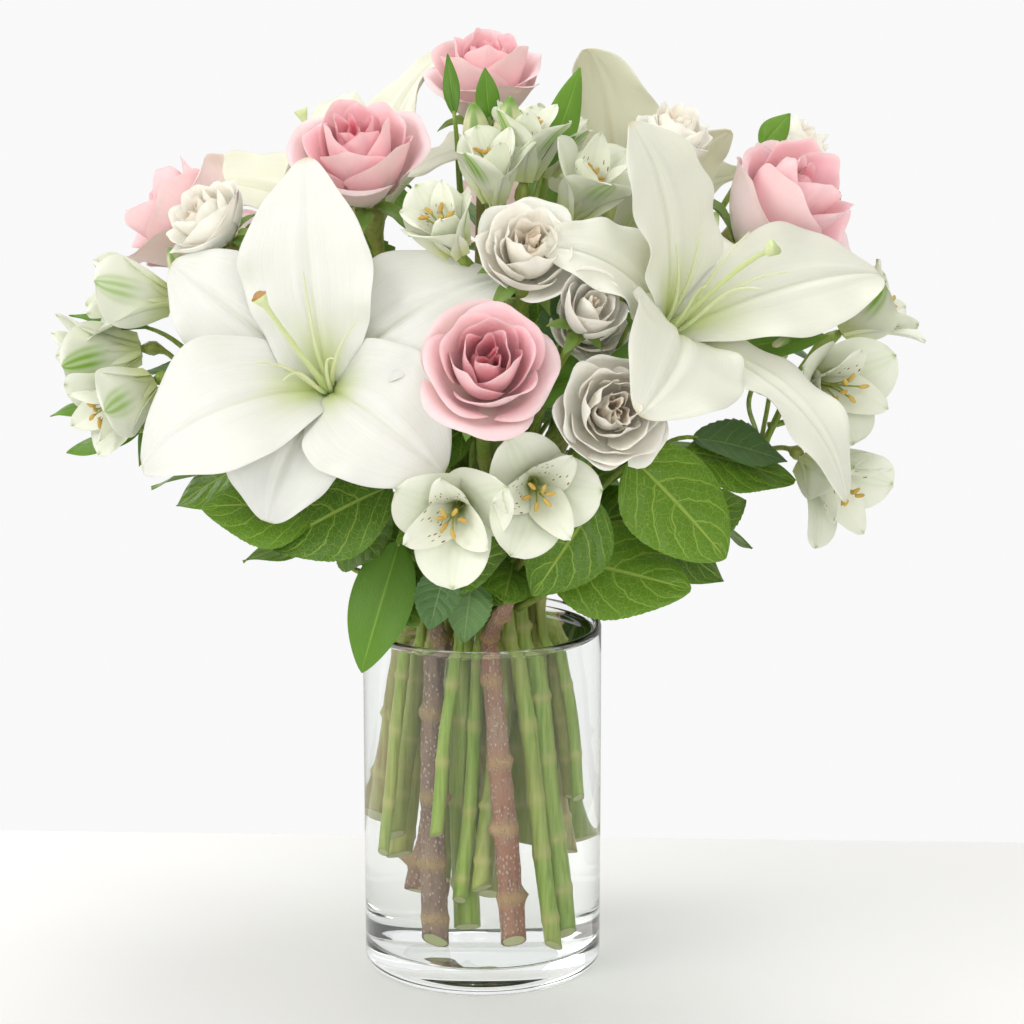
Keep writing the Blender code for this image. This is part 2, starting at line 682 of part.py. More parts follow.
SPRAY_ENDS = []
for flower, numbers in SPRAY_ROSES.items():
    SPRAY_ENDS.append(
        build_head(flower, numbers, SPRAY_ROSE_RADIUS, 10, SPRAY_PROFILE, PARTS, FINISHES["cream"])
    )
for number, heads_of in enumerate((SPRAY_ENDS[:4], SPRAY_ENDS[4:5], SPRAY_ENDS[:4:-1]), 1):
    build_forked_stem(f"spray_rose_stem_{number}", heads_of, 0.35, PARTS, FINISHES["green stem"])

for number, (umbel, rows_of) in enumerate(FLORETS.items(), 1):
    middle_of = sum((on_dome(*numbers[:3]) for numbers in rows_of), Vector()) / len(rows_of)
    out_of = (middle_of - Vector((0.0, 0.0, 0.10))).normalized()
    hub_of = middle_of - out_of * 0.035
    build_umbel(umbel, rows_of, hub_of, PARTS, CUTTERS, FINISHES["floret"])
    grown_stem, _ = bare_stem(f"alstroemeria_stem_{number}", hub_of - out_of * 0.0042, out_of, (), 1.0, 0.8)
    finish_stem(f"alstroemeria_stem_{number}", grown_stem, PARTS, FINISHES["green stem"])

# Each leaf: bearing, lean and reach of the blade's base, the bearing and lift it runs along,
# the bearing and lift its face looks to, length, half width, droop and sharpness of the tip
WOODY_ENDS = {
    "woody_stem_1": (-44, 44, 0.36),
    "woody_stem_2": (12, 50, 0.36),
    "woody_stem_3": (190, 44, 0.40),
}
LEAVES = {
    "salal_leaves_1": [
        (-38, 49, 0.66, -84, 6, -25, 45, 0.048, 0.020, 15, 0.8),
        (-22, 43, 0.66, -80, -22, -15, 35, 0.055, 0.021, 20, 0.8),
        (-58, 46, 0.72, -92, -25, -60, 45, 0.038, 0.016, 15, 0.8),
    ],
    "salal_leaves_2": [
        (18, 51, 0.54, 70, -6, 10, 35, 0.060, 0.022, 12, 0.7),
        (31, 45, 0.78, 75, -42, 20, 30, 0.056, 0.023, 15, 0.7),
        (24, 49, 0.72, -60, -50, 10, 30, 0.046, 0.018, 15, 0.8),
        (40, 51, 0.62, 80, -28, 45, 35, 0.040, 0.015, 12, 0.8),
        (50, 44, 0.74, 95, -12, 50, 45, 0.048, 0.016, 15, 0.8),
    ],
    "salal_leaves_3": [
        (140, 50, 0.62, 110, -12, 140, 50, 0.066, 0.027, 20, 0.75),
        (165, 54, 0.56, 150, -30, 160, 40, 0.064, 0.026, 20, 0.75),
        (-170, 50, 0.58, -178, -30, -170, 40, 0.064, 0.027, 20, 0.75),
        (-142, 52, 0.60, -152, -20, -142, 50, 0.062, 0.025, 20, 0.75),
        (-118, 50, 0.64, -105, -10, -118, 55, 0.060, 0.024, 20, 0.75),
    ],
}

for number, (stem_name, numbers) in enumerate(WOODY_ENDS.items(), 1):
    end_of = on_dome(*numbers)
    way_of = (end_of - Vector((0.0, 0.0, 0.12))).normalized()
    grown_stem, _ = bare_stem(stem_name, end_of, way_of, (), 0.8, 0.8)
    finish_stem(stem_name, grown_stem, PARTS, FINISHES["brown bark"])
    rows_of = LEAVES[f"salal_leaves_{number}"]
    grown_twig = bmesh.new()
    tip_of = end_of + way_of * 0.032
    twig = [end_of + way_of * (0.0008 + 0.032 * step / 8) for step in range(9)]
    disc = start_disc(grown_twig, twig[0], way_of, 0.0022, 6)
    grow(grown_twig, disc, tube_sections(twig[1:], [0.0022] * 8, Vector((1.0, 0.0, 0.0))))
    for step, leaf_row in enumerate(rows_of):
        joint_of = twig[0].lerp(tip_of, (1.6 * step + 1.2) / 8)
        leaf_of = (
            on_dome(*leaf_row[:3]), direction(*leaf_row[3:5]), direction(*leaf_row[5:7]), *leaf_row[7:],
        )
        add_leaf(grown_twig, joint_of, leaf_of)
    finish_stem(f"salal_leaves_{number}", grown_twig, PARTS, FINISHES["leaf"])

bpy.context.view_layer.update()
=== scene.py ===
"""Fine surface of the lilies in a vase: glass, water, stems, flowers and leaves.

Metres, +Z up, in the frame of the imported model. The front of the bouquet faces -Y, and a
bearing is measured from the front towards +X, in degrees.
"""

import math
import random

import bmesh
import bpy
from mathutils import Matrix, Vector, noise


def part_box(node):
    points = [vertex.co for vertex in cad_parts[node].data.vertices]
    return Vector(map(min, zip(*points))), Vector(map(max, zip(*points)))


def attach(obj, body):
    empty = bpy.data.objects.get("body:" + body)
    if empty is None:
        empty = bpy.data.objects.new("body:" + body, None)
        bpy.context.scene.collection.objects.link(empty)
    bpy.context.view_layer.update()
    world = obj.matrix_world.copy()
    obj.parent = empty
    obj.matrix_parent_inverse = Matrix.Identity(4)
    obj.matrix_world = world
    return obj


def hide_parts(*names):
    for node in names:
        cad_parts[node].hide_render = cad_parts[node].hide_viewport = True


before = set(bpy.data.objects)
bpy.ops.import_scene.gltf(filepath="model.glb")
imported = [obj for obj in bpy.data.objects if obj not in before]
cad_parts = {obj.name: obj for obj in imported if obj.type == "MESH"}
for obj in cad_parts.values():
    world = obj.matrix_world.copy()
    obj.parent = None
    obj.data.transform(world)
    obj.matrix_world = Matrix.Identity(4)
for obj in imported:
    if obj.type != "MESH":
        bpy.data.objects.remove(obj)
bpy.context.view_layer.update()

# Vase and water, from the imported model's own boxes
GAP = 0.0003
VASE_LOW, VASE_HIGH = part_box("vase")
WATER_LOW, WATER_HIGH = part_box("water")
VASE_RADIUS = (VASE_HIGH.x - VASE_LOW.x) / 2
VASE_HEIGHT = VASE_HIGH.z
INNER_RADIUS = (WATER_HIGH.x - WATER_LOW.x) / 2 + GAP
VASE_FLOOR = WATER_LOW.z - GAP
WATER_TOP = WATER_HIGH.z
VASE_HEEL = 0.007
WET_HEIGHT = WATER_TOP + 0.001
ROUND_STEPS = 128
GLASS_BEND = 1.5
WATER_BEND = 1.33

# Bouquet: every flower and leaf starts on a dome around a point inside the neck of the vase
DOME_RADIUS = 0.210
DOME_MIDDLE = Vector((0.0, 0.0, VASE_HEIGHT - 0.022))
NECK_HEIGHT = VASE_HEIGHT + 0.004
FOOT_HEIGHT = 0.020

# Flowers
LILY_TEPAL = 0.108
ROSE_RADIUS = 0.0275
SPRAY_ROSE_RADIUS = 0.0200
FLORET_TEPAL = 0.038
PETAL_THICKNESS = 0.0004
LEAF_THICKNESS = 0.0005

# Stems, as radii
LILY_STEM = 0.0042
ROSE_STEM = 0.0033
SPRAY_STEM = 0.0034
FLORET_STEM = 0.0024
WOODY_STEM = 0.0047

UP = Vector((0.0, 0.0, 1.0))
SIDE = Vector((1.0, 0.0, 0.0))

# Each stem: radius, (x, y) at the neck, (x, y) where its line passes FOOT_HEIGHT and the height
# of its cut end, in millimetres, and how brown it is, from 0 for fresh green to 1 for olive
STEMS = {
    "lily_stem_1": (LILY_STEM, (-8, -6), (-5, -8), 22, 0.1),
    "lily_stem_2": (LILY_STEM, (16, -12), (31, -17), 20, 0.0),
    "lily_stem_3": (LILY_STEM, (-6, 13), (-12, 26), 46, 0.2),
    "lily_stem_4": (LILY_STEM, (7, 14), (11, 27), 52, 0.3),
    "rose_stem_1": (ROSE_STEM, (11, -18), (27, -25), 17, 0.15),
    "rose_stem_2": (ROSE_STEM, (-6, 4), (-15, 3), 40, 0.45),
    "rose_stem_3": (ROSE_STEM, (-14, 8), (-27, 14), 48, 0.6),
    "rose_stem_4": (ROSE_STEM, (22, -1), (35, 3), 76, 0.5),
    "rose_stem_5": (ROSE_STEM, (1, 4), (2, 12), 32, 0.7),
    "rose_stem_6": (ROSE_STEM, (1, 23), (-1, 39), 52, 0.4),
    "rose_stem_7": (ROSE_STEM, (-21, 13), (-31, 25), 62, 0.8),
    "spray_rose_stem_1": (SPRAY_STEM, (9, -4), (-2, -22), 42, 0.35),
    "spray_rose_stem_2": (SPRAY_STEM, (-19, -1), (-33, -1), 60, 0.3),
    "spray_rose_stem_3": (SPRAY_STEM, (15, 6), (27, 12), 50, 0.75),
    "alstroemeria_stem_1": (FLORET_STEM, (-9, -27), (-22, -33), 68, 0.1),
    "alstroemeria_stem_2": (FLORET_STEM, (-25, -7), (-40, -12), 54, 0.2),
    "alstroemeria_stem_3": (FLORET_STEM, (0, -11), (-9, -17), 36, 0.0),
    "alstroemeria_stem_4": (FLORET_STEM, (25, -8), (41, -9), 78, 0.1),
    "alstroemeria_stem_5": (FLORET_STEM, (15, 18), (26, 31), 50, 0.2),
    "woody_stem_1": (WOODY_STEM, (-17, -14), (-17, -18), 18, 0.0),
    "woody_stem_2": (WOODY_STEM, (2, -24), (12, -30), 21, 1.0),
    "woody_stem_3": (WOODY_STEM, (-9, 22), (-14, 36), 26, 0.5),
}

# Each flower: bearing, lean and reach of its base on the dome, the bearing and lift that
# it faces, its turn about that axis, and its size. Reach is a share of the dome's radius.
LILIES = {
    "lily_1": (-39, 35, 0.80, -15, 30, 0, 0.95),
    "lily_2": (42, 34, 0.93, 48, 38, 0, 0.97),
    "lily_3": (-119, 17, 0.90, -60, 60, 0, 0.85),
    "lily_4": (103, 17, 0.91, 150, 46, 0, 0.8),
}
ROSES = {
    "rose_1": (1, 39, 0.89, 4, 35, 0, 0.93),
    "rose_2": (-50, 16, 1.02, -15, 62, 40, 0.98),
    "rose_3": (-86, 30, 0.99, -100, 38, 20, 1.0),
    "rose_4": (80, 30, 1.02, 62, 42, 0, 1.14),
    "rose_5": (176, 5, 1.10, 10, 75, 0, 0.9),
    "rose_6": (175, 38, 0.95, 175, 38, 0, 1.0),
    "rose_7": (-138, 44, 0.96, -140, 30, 30, 0.95),
}
SPRAY_ROSES = {
    "spray_rose_1": (11, 27, 1.0, 5, 42, 0, 1.02),
    "spray_rose_2": (20, 34, 0.96, 20, 38, 0, 0.68),
    "spray_rose_3": (22, 43, 0.88, 12, 18, 0, 1.1),
    "spray_rose_4": (29, 27, 0.85, 25, 30, 0, 0.75),
    "spray_rose_5": (-65, 30, 1.06, -60, 45, 0, 0.88),
    "spray_rose_6": (69, 20, 1.12, 60, 75, 0, 0.82),
    "spray_rose_7": (107, 32, 1.17, 95, 55, 0, 0.85),
}
FLORETS = {
    "alstroemeria_1": [(-4, 47, 0.69, -10, -4, 0, 0.97), (11, 45, 0.72, 8, 0, 30, 0.95)],
    "alstroemeria_2": [
        (-70, 38, 1.02, -85, 5, 0, 0.95),
        (-74, 44, 0.98, -88, -8, 30, 0.95),
        (-66, 46, 0.95, -62, -22, 10, 0.95),
    ],
    "alstroemeria_3": [
        (-5, 24, 1.01, -42, 52, 0, 0.8),
        (6, 15, 1.03, -10, 76, 30, 0.8),
        (22, 12, 1.05, 60, 84, 0, 0.85),
        (36, 17, 1.01, 50, 58, 30, 0.9),
        (58, 8, 1.03, 48, 74, 0, 0.78),
    ],
    "alstroemeria_4": [
        (75, 46, 0.92, 30, 2, 0, 1.0),
        (70, 53, 0.83, 50, -28, 20, 1.0),
        (86, 45, 1.0, 92, 30, 0, 0.9),
    ],
    "alstroemeria_5": [(150, 30, 1.0, 150, 35, 0, 1.0), (126, 46, 1.0, 122, 12, 0, 0.95)],
}

# Buds of the alstroemeria: bearing, lean and reach of the base, the way they point, and length
BUDS = {
    "alstroemeria_2": [(-62, 38, 0.98, -100, 55, 0.020), (-72, 36, 1.04, -80, 70, 0.014)],
    "alstroemeria_3": [(-2, 8, 1.08, -30, 80, 0.024), (14, 10, 1.09, 60, 84, 0.026), (28, 24, 0.98, 20, 60, 0.018)],
    "alstroemeria_4": [(64, 42, 0.90, 80, 55, 0.020), (88, 36, 1.12, 90, 60, 0.020)],
    "alstroemeria_5": [(138, 40, 1.04, 138, 40, 0.020)],
}

# The tepals of each lily, three inner and broad and then three outer and narrow: turn from
# upright, length, half width, how far each opens at its base and at its tip in degrees, and
# how far its tip sweeps sideways, clockwise as seen from the front, as a share of its length
TEPALS = {
    "lily_1": (
        ((-4, 0.92, 0.26, 34, 88, 0.0), (122, 0.76, 0.29, 36, 146, 0.02), (242, 0.86, 0.27, 36, 134, -0.10)),
        ((55, 0.88, 0.24, 42, 140, 0.03), (190, 0.62, 0.23, 46, 150, 0.08), (302, 0.80, 0.23, 42, 116, 0.0)),
    ),
    "lily_2": (
        ((-14, 0.83, 0.27, 34, 84, -0.04), (98, 0.92, 0.23, 36, 100, 0.02), (236, 0.72, 0.27, 36, 150, 0.0)),
        ((36, 0.62, 0.18, 42, 150, 0.0), (164, 0.98, 0.17, 46, 124, 0.06), (304, 0.70, 0.20, 44, 140, 0.05)),
    ),
    "lily_3": (
        ((0, 1.0, 0.25, 34, 96, 0.0), (118, 0.85, 0.22, 20, 58, 0.0), (240, 0.98, 0.25, 34, 104, -0.04)),
        ((62, 0.90, 0.19, 44, 100, 0.0), (172, 0.60, 0.16, 42, 66, 0.0), (300, 1.0, 0.20, 42, 108, 0.04)),
    ),
    "lily_4": (
        ((0, 1.0, 0.26, 34, 96, 0.0), (120, 0.98, 0.24, 36, 108, 0.03), (238, 0.78, 0.20, 22, 58, 0.0)),
        ((60, 1.0, 0.20, 44, 112, 0.0), (180, 0.98, 0.19, 44, 116, -0.03), (300, 0.80, 0.18, 38, 78, 0.0)),
    ),
}
# Where each pistil ends in its flower's own frame, at full size
PISTIL_ENDS = {
    "lily_1": (-0.013, 0.016, 0.070),
    "lily_2": (-0.006, -0.004, 0.074),
    "lily_3": (-0.010, 0.006, 0.074),
    "lily_4": (-0.012, 0.004, 0.074),
}

# Twigs of salal, and its leaves: bearing, lean and reach of the blade's base, the bearing and
# lift it runs along, the bearing and lift its face looks to, length, half width, droop, tip
WOODY_ENDS = {
    "woody_stem_1": (-44, 44, 0.36),
    "woody_stem_2": (12, 50, 0.36),
    "woody_stem_3": (190, 44, 0.40),
}
LEAVES = {
    "salal_leaves_1": [
        (-38, 49, 0.66, -84, 6, -25, 45, 0.048, 0.020, 15, 0.8),
        (-22, 43, 0.66, -80, -22, -15, 35, 0.055, 0.021, 20, 0.8),
        (-58, 46, 0.72, -92, -25, -60, 45, 0.038, 0.016, 15, 0.8),
    ],
    "salal_leaves_2": [
        (18, 51, 0.54, 70, -6, 10, 35, 0.060, 0.022, 12, 0.7),
        (31, 45, 0.78, 75, -42, 20, 30, 0.056, 0.023, 15, 0.7),
        (24, 49, 0.72, -60, -50, 10, 30, 0.046, 0.018, 15, 0.8),
        (40, 51, 0.62, 80, -28, 45, 35, 0.040, 0.015, 12, 0.8),
        (50, 44, 0.74, 95, -12, 50, 45, 0.048, 0.016, 15, 0.8),
    ],
    "salal_leaves_3": [
        (140, 50, 0.62, 110, -12, 140, 50, 0.066, 0.027, 20, 0.75),
        (165, 54, 0.56, 150, -30, 160, 40, 0.064, 0.026, 20, 0.75),
        (-170, 50, 0.58, -178, -30, -170, 40, 0.064, 0.027, 20, 0.75),
        (-142, 52, 0.60, -152, -20, -142, 50, 0.062, 0.025, 20, 0.75),
        (-118, 50, 0.64, -105, -10, -118, 55, 0.060, 0.024, 20, 0.75),
    ],
}
# Long plain leaves of lily, rose and alstroemeria that fill the bouquet, with the same numbers
FILL_LEAVES = {
    "alstroemeria_leaves": [
        (-31, 5, 1.15, -150, 76, -10, 14, 0.026, 0.0035, 10, 0.9),
        (7, 7, 1.15, -90, 85, 0, 5, 0.022, 0.0050, 10, 0.9),
        (33, 12, 1.08, 120, 63, 20, 10, 0.046, 0.0075, 25, 0.9),
        (99, 28, 1.20, 90, 50, 10, 30, 0.019, 0.0060, 10, 0.9),
        (-74, 42, 1.00, -102, 13, -60, 60, 0.036, 0.0050, 15, 0.9),
        (-73, 52, 0.98, -90, -8, -50, 60, 0.022, 0.0050, 15, 0.9),
        (-69, 52, 0.90, -101, -13, -40, 55, 0.034, 0.0075, 15, 0.9),
        (-69, 45, 0.90, -60, -56, -40, 30, 0.036, 0.0090, 15, 0.9),
        (-62, 41, 0.88, -90, -22, -50, 60, 0.038, 0.0100, 15, 0.9),
        (71, 51, 0.90, 90, -57, 20, 20, 0.018, 0.0055, 15, 0.9),
        (68, 45, 0.88, -90, 45, 10, 20, 0.020, 0.0060, 10, 0.9),
        (30, 36, 0.80, 60, 60, 10, 20, 0.030, 0.0070, 10, 0.9),
        (-25, 24, 0.90, 70, 40, -5, 30, 0.030, 0.0080, 10, 0.9),
        (150, 30, 0.95, 120, 40, 150, 40, 0.040, 0.0080, 20, 0.9),
        (-160, 24, 0.95, -120, 40, -160, 40, 0.040, 0.0080, 20, 0.9),
        (120, 38, 1.00, 110, 10, 120, 50, 0.040, 0.0090, 20, 0.9),
        (-115, 34, 1.00, -110, 20, -115, 50, 0.040, 0.0090, 20, 0.9),
    ],
    "lily_leaves": [
        (-27, 45, 0.49, -53, -68, -15, 20, 0.056, 0.0135, 8, 0.7),
        (10, 28, 0.72, 70, 20, 5, 40, 0.060, 0.0110, 20, 0.8),
        (-44, 26, 0.84, 60, 40, -20, 40, 0.050, 0.0110, 20, 0.8),
        (40, 26, 0.86, -60, 50, 10, 40, 0.050, 0.0100, 20, 0.8),
        (60, 36, 0.86, 80, 20, 40, 50, 0.050, 0.0110, 20, 0.8),
        (160, 20, 0.90, 170, 50, 160, 30, 0.055, 0.0110, 25, 0.8),
        (-150, 34, 0.84, -150, 30, -150, 50, 0.060, 0.0120, 25, 0.8),
        (130, 20, 0.92, 100, 50, 130, 30, 0.050, 0.0110, 25, 0.8),
    ],
    "rose_leaves": [
        (-9, 53, 0.53, -27, -54, -10, 25, 0.026, 0.0100, 15, 0.8),
        (-2, 54, 0.53, -21, -69, 0, 20, 0.028, 0.0100, 15, 0.8),
        (-41, 25, 0.86, 90, 33, -20, 40, 0.030, 0.0120, 15, 0.8),
        (22, 28, 0.84, 90, 70, 10, 20, 0.026, 0.0120, 15, 0.8),
        (37, 31, 0.94, 130, 55, 20, 30, 0.020, 0.0090, 15, 0.8),
        (52, 43, 0.76, 90, -9, 40, 60, 0.040, 0.0150, 15, 0.8),
        (-60, 26, 0.90, -100, 20, -60, 50, 0.036, 0.0140, 15, 0.8),
        (176, 26, 0.90, -160, 30, 176, 50, 0.040, 0.0160, 15, 0.8),
        (-160, 44, 0.86, 170, 10, -160, 50, 0.042, 0.0170, 15, 0.8),
        (150, 44, 0.86, 170, -10, 150, 50, 0.042, 0.0170, 15, 0.8),
        (-100, 44, 0.86, -80, -10, -100, 50, 0.040, 0.0150, 15, 0.8),
        (100, 40, 0.88, 90, -20, 100, 50, 0.040, 0.0150, 15, 0.8),
    ],
}


# ---------------------------------------------------------------- placing


def direction(bearing, lift):
    """Unit vector from a bearing and a lift above the horizontal, both in degrees."""
    turn = math.radians(bearing)
    rise = math.radians(lift)
    return Vector((math.sin(turn) * math.cos(rise), -math.cos(turn) * math.cos(rise), math.sin(rise)))


def on_dome(bearing, lean, reach):
    return DOME_MIDDLE + direction(bearing, 90.0 - lean) * reach * DOME_RADIUS


def flower_frame(base, axis, roll):
    """Matrix of a flower: +Z along its axis and +Y as near upright as it can be."""
    up = (UP - axis * axis.z).normalized()
    turned = Matrix((up.cross(axis), up, axis)).transposed().to_4x4()
    return Matrix.Translation(base) @ turned @ Matrix.Rotation(-math.radians(roll), 4, "Z")


def curve_points(start, start_way, end, end_way, count):
    """Points on a cubic from start to end that leaves and arrives along the two ways."""
    reach = (end - start).length * 0.42
    first = start + start_way * reach
    second = end - end_way * reach
    points = []
    for index in range(count + 1):
        share = index / count
        left = 1.0 - share
        point = start * left**3 + first * (3 * left**2 * share)
        points.append(point + second * (3 * left * share**2) + end * share**3)
    return points


def blend(low, high, share):
    return low + (high - low) * share


def smooth(share):
    share = max(0.0, min(1.0, share))
    return share * share * (3.0 - 2.0 * share)


def hump(value, middle, width):
    return math.exp(-(((value - middle) / width) ** 2))


# ---------------------------------------------------------------- meshes


def new_mesh():
    """A bmesh whose points carry three numbers that the materials read.

    depth is how far in a petal lies, or how near a point is to a joint, chance is a number
    of its own for each petal, leaf or stem, and back is 1 on a petal's outer face."""
    bm = bmesh.new()
    bm.loops.layers.uv.new("UVMap")
    bm.verts.layers.float.new("depth")
    bm.verts.layers.float.new("chance")
    bm.verts.layers.float.new("back")
    return bm


def grid(bm, across, along, shape, depth=0.0, chance=0.0, finish=0):
    """A grid put in place by shape(side, rise), with side from -1 to 1 and rise from 0 to 1."""
    made = bmesh.ops.create_grid(bm, x_segments=across, y_segments=along, size=1.0, calc_uvs=True)
    deep = bm.verts.layers.float["depth"]
    luck = bm.verts.layers.float["chance"]
    faces = set()
    for vert in made["verts"]:
        side, rise = vert.co.x, (vert.co.y + 1.0) / 2
        vert.co = shape(side, rise)
        vert[deep] = depth(side, rise) if callable(depth) else depth
        vert[luck] = chance
        faces.update(vert.link_faces)
    for face in faces:
        face.material_index = finish
    return made["verts"], list(faces)


def sheet(bm, across, along, shape, thickness, depth=0.0, chance=0.0, finish=0, back_up=False):
    """A petal or a blade: a grid wrapped round a surface, so that it is thin and closed all round.

    Its two faces meet at the rim. back_up says that the face on the surface's positive side,
    side crossed with rise, is the petal's outer one."""
    rows = [[shape(2 * i / across - 1, j / along) for j in range(along + 1)] for i in range(across + 1)]

    def lifted(i, j):
        right = rows[min(i + 1, across)][j] - rows[max(i - 1, 0)][j]
        ahead = rows[i][min(j + 1, along)] - rows[i][max(j - 1, 0)]
        return right.cross(ahead).normalized() * thickness / 2

    made = bmesh.ops.create_grid(bm, x_segments=2 * across, y_segments=along, size=1.0, calc_uvs=True)
    deep, luck, back = (bm.verts.layers.float[name] for name in ("depth", "chance", "back"))
    faces = set()
    rim = set()
    for vert in made["verts"]:
        column, j = round((vert.co.x + 1) * across), round((vert.co.y + 1) / 2 * along)
        upper = column <= across
        i = column if upper else 2 * across - column
        vert.co = rows[i][j]
        if 0 < i < across and 0 < j < along:
            vert.co += lifted(i, j) if upper else -lifted(i, j)
        else:
            rim.add(vert)
        vert[deep], vert[luck], vert[back] = depth, chance, float(upper == back_up)
        faces.update(vert.link_faces)
    places = bm.loops.layers.uv.active
    for face in faces:
        face.material_index = finish
        for loop in face.loops:
            loop[places].uv.x = 1.0 - abs(1.0 - 2.0 * loop[places].uv.x)
    bmesh.ops.remove_doubles(bm, verts=made["verts"], dist=1e-7)
    bmesh.ops.recalc_face_normals(bm, faces=[face for face in faces if face.is_valid])
    rim = {vert for vert in rim if vert.is_valid}
    for vert in rim:
        for edge in vert.link_edges:
            if edge.other_vert(vert) in rim:
                edge.smooth = False


def way_frames(points, hint):
    """A side and an up vector for each point of a path, square to it and without twist."""
    frames = []
    side = hint
    for index in range(len(points)):
        ahead = points[min(index + 1, len(points) - 1)]
        behind = points[max(index - 1, 0)]
        way = (ahead - behind).normalized()
        side = side - way * side.dot(way)
        if side.length < 1e-6:
            side = way.orthogonal()
        side.normalize()
        frames.append((side.copy(), way.cross(side), way))
    return frames


def tube(bm, points, radius_at, sides=10, depth=0.0, chance=0.0, finish=0, cut=(0.0, 0.0), hint=SIDE):
    """A round stem along a path, closed at both ends. radius_at(share, turn) gives its radius.

    cut is the slant of its first end, as a slope, and the turn at which that end is longest."""
    frames = way_frames(points, hint)
    last = len(points) - 1

    def shape(side, rise):
        index = round(rise * last)
        turn = math.pi * (side + 1.0)
        right, up, way = frames[index]
        radius = radius_at(index / last, turn)
        point = points[index] + (right * math.cos(turn) + up * math.sin(turn)) * radius
        if index < 4:
            point -= way * radius * cut[0] * math.cos(turn - cut[1]) * (1.0 - index / 4)
        return point

    verts, _ = grid(bm, sides, last, shape, depth, chance, finish)
    bmesh.ops.remove_doubles(bm, verts=verts, dist=1e-7)
    verts = [vert for vert in verts if vert.is_valid]
    edges = {edge for vert in verts for edge in vert.link_edges if edge.is_boundary}
    caps = bmesh.ops.edgeloop_fill(bm, edges=list(edges), mat_nr=finish)["faces"]
    faces = {face for vert in verts for face in vert.link_faces}
    bmesh.ops.recalc_face_normals(bm, faces=list(faces))
    return caps


def ball(bm, centre, radius, stretch, chance=0.0, finish=0):
    """A small rounded body, such as an anther, stretched along a vector."""
    turn = stretch.to_track_quat("Z", "Y").to_matrix().to_4x4()
    size = Matrix.Diagonal((radius, radius, radius + stretch.length, 1.0))
    made = bmesh.ops.create_icosphere(
        bm, subdivisions=2, radius=1.0, matrix=Matrix.Translation(centre) @ turn @ size
    )
    luck = bm.verts.layers.float["chance"]
    for vert in made["verts"]:
        vert[luck] = chance
        for face in vert.link_faces:
            face.material_index = finish


def add_piece(name, bm, finishes, nodes=()):
    """Make the piece, let it ride on the body and stand for the nodes it replaces."""
    mesh = bpy.data.meshes.new(name)
    bm.to_mesh(mesh)
    bm.free()
    mesh.shade_smooth()
    for finish in finishes:
        mesh.materials.append(finish)
    piece = bpy.data.objects.new(name, mesh)
    bpy.context.scene.collection.objects.link(piece)
    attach(piece, "root")
    if nodes:
        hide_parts(*nodes)
    return piece


def spun(profile):
    """Spin a profile of (radius, height) points round the upright axis into a closed body."""
    bm = new_mesh()
    verts = [bm.verts.new((radius, 0.0, height)) for radius, height in profile]
    edges = [bm.edges.new(pair) for pair in zip(verts, verts[1:])]
    bmesh.ops.spin(
        bm, geom=verts + edges, cent=(0, 0, 0), axis=UP, dvec=(0, 0, 0),
        angle=2 * math.pi, steps=ROUND_STEPS, use_merge=True, use_duplicate=False,
    )
    bmesh.ops.remove_doubles(bm, verts=bm.verts, dist=1e-6)
    bmesh.ops.recalc_face_normals(bm, faces=bm.faces)
    return bm


def arc(centre, radius, start, end, steps):
    """Points of a profile's round corner, from one angle to another in degrees."""
    points = []
    for index in range(steps + 1):
        turn = math.radians(blend(start, end, index / steps))
        points.append((centre[0] + radius * math.cos(turn), centre[1] + radius * math.sin(turn)))
    return points


# ---------------------------------------------------------------- finishes


def add_node(tree, kind, values=None, **settings):
    """A node with its settings, and its inputs set to a value or linked to a socket."""
    made = tree.nodes.new(kind)
    for key, value in settings.items():
        setattr(made, key, value)
    for key, value in (values or {}).items():
        if isinstance(value, bpy.types.NodeSocket):
            tree.links.new(value, made.inputs[key])
        else:
            made.inputs[key].default_value = value
    return made


def maths(tree, operation, first, second=0.0, clamp=False):
    made = add_node(tree, "ShaderNodeMath", {0: first, 1: second}, operation=operation, use_clamp=clamp)
    return made.outputs[0]


def mixed(tree, share, first, second, how="MIX"):
    """Mix two colours. A colour is a socket or three numbers."""
    first = first if isinstance(first, bpy.types.NodeSocket) else (*first, 1.0)
    second = second if isinstance(second, bpy.types.NodeSocket) else (*second, 1.0)
    made = add_node(tree, "ShaderNodeMix", {0: share, 6: first, 7: second}, data_type="RGBA", blend_type=how)
    return made.outputs[2]


def band(tree, value, low, high):
    """0 below low and 1 above high, smooth between them; swapped when low is over high."""
    made = add_node(tree, "ShaderNodeMapRange", {0: value, 1: low, 2: high}, interpolation_type="SMOOTHSTEP")
    return made.outputs[0]


def noise_of(tree, where, scale, detail=3.0, roughness=0.5):
    values = {"Vector": where, "Scale": scale, "Detail": detail, "Roughness": roughness}
    return add_node(tree, "ShaderNodeTexNoise", values).outputs[0]


def stretched(tree, where, scale):
    return add_node(tree, "ShaderNodeMapping", {"Vector": where, "Scale": scale}).outputs[0]


def attribute(tree, name):
    return add_node(tree, "ShaderNodeAttribute", attribute_name=name).outputs["Fac"]


def new_finish(name, roughness, **settings):
    """A material, its tree and its shader, with plain settings on the shader's own sockets."""
    made = bpy.data.materials.new(name)
    made.use_nodes = True
    tree = made.node_tree
    shader = tree.nodes["Principled BSDF"]
    shader.inputs["Roughness"].default_value = roughness
    for key, value in settings.items():
        shader.inputs[key.replace("_", " ")].default_value = value
    return made, tree, shader


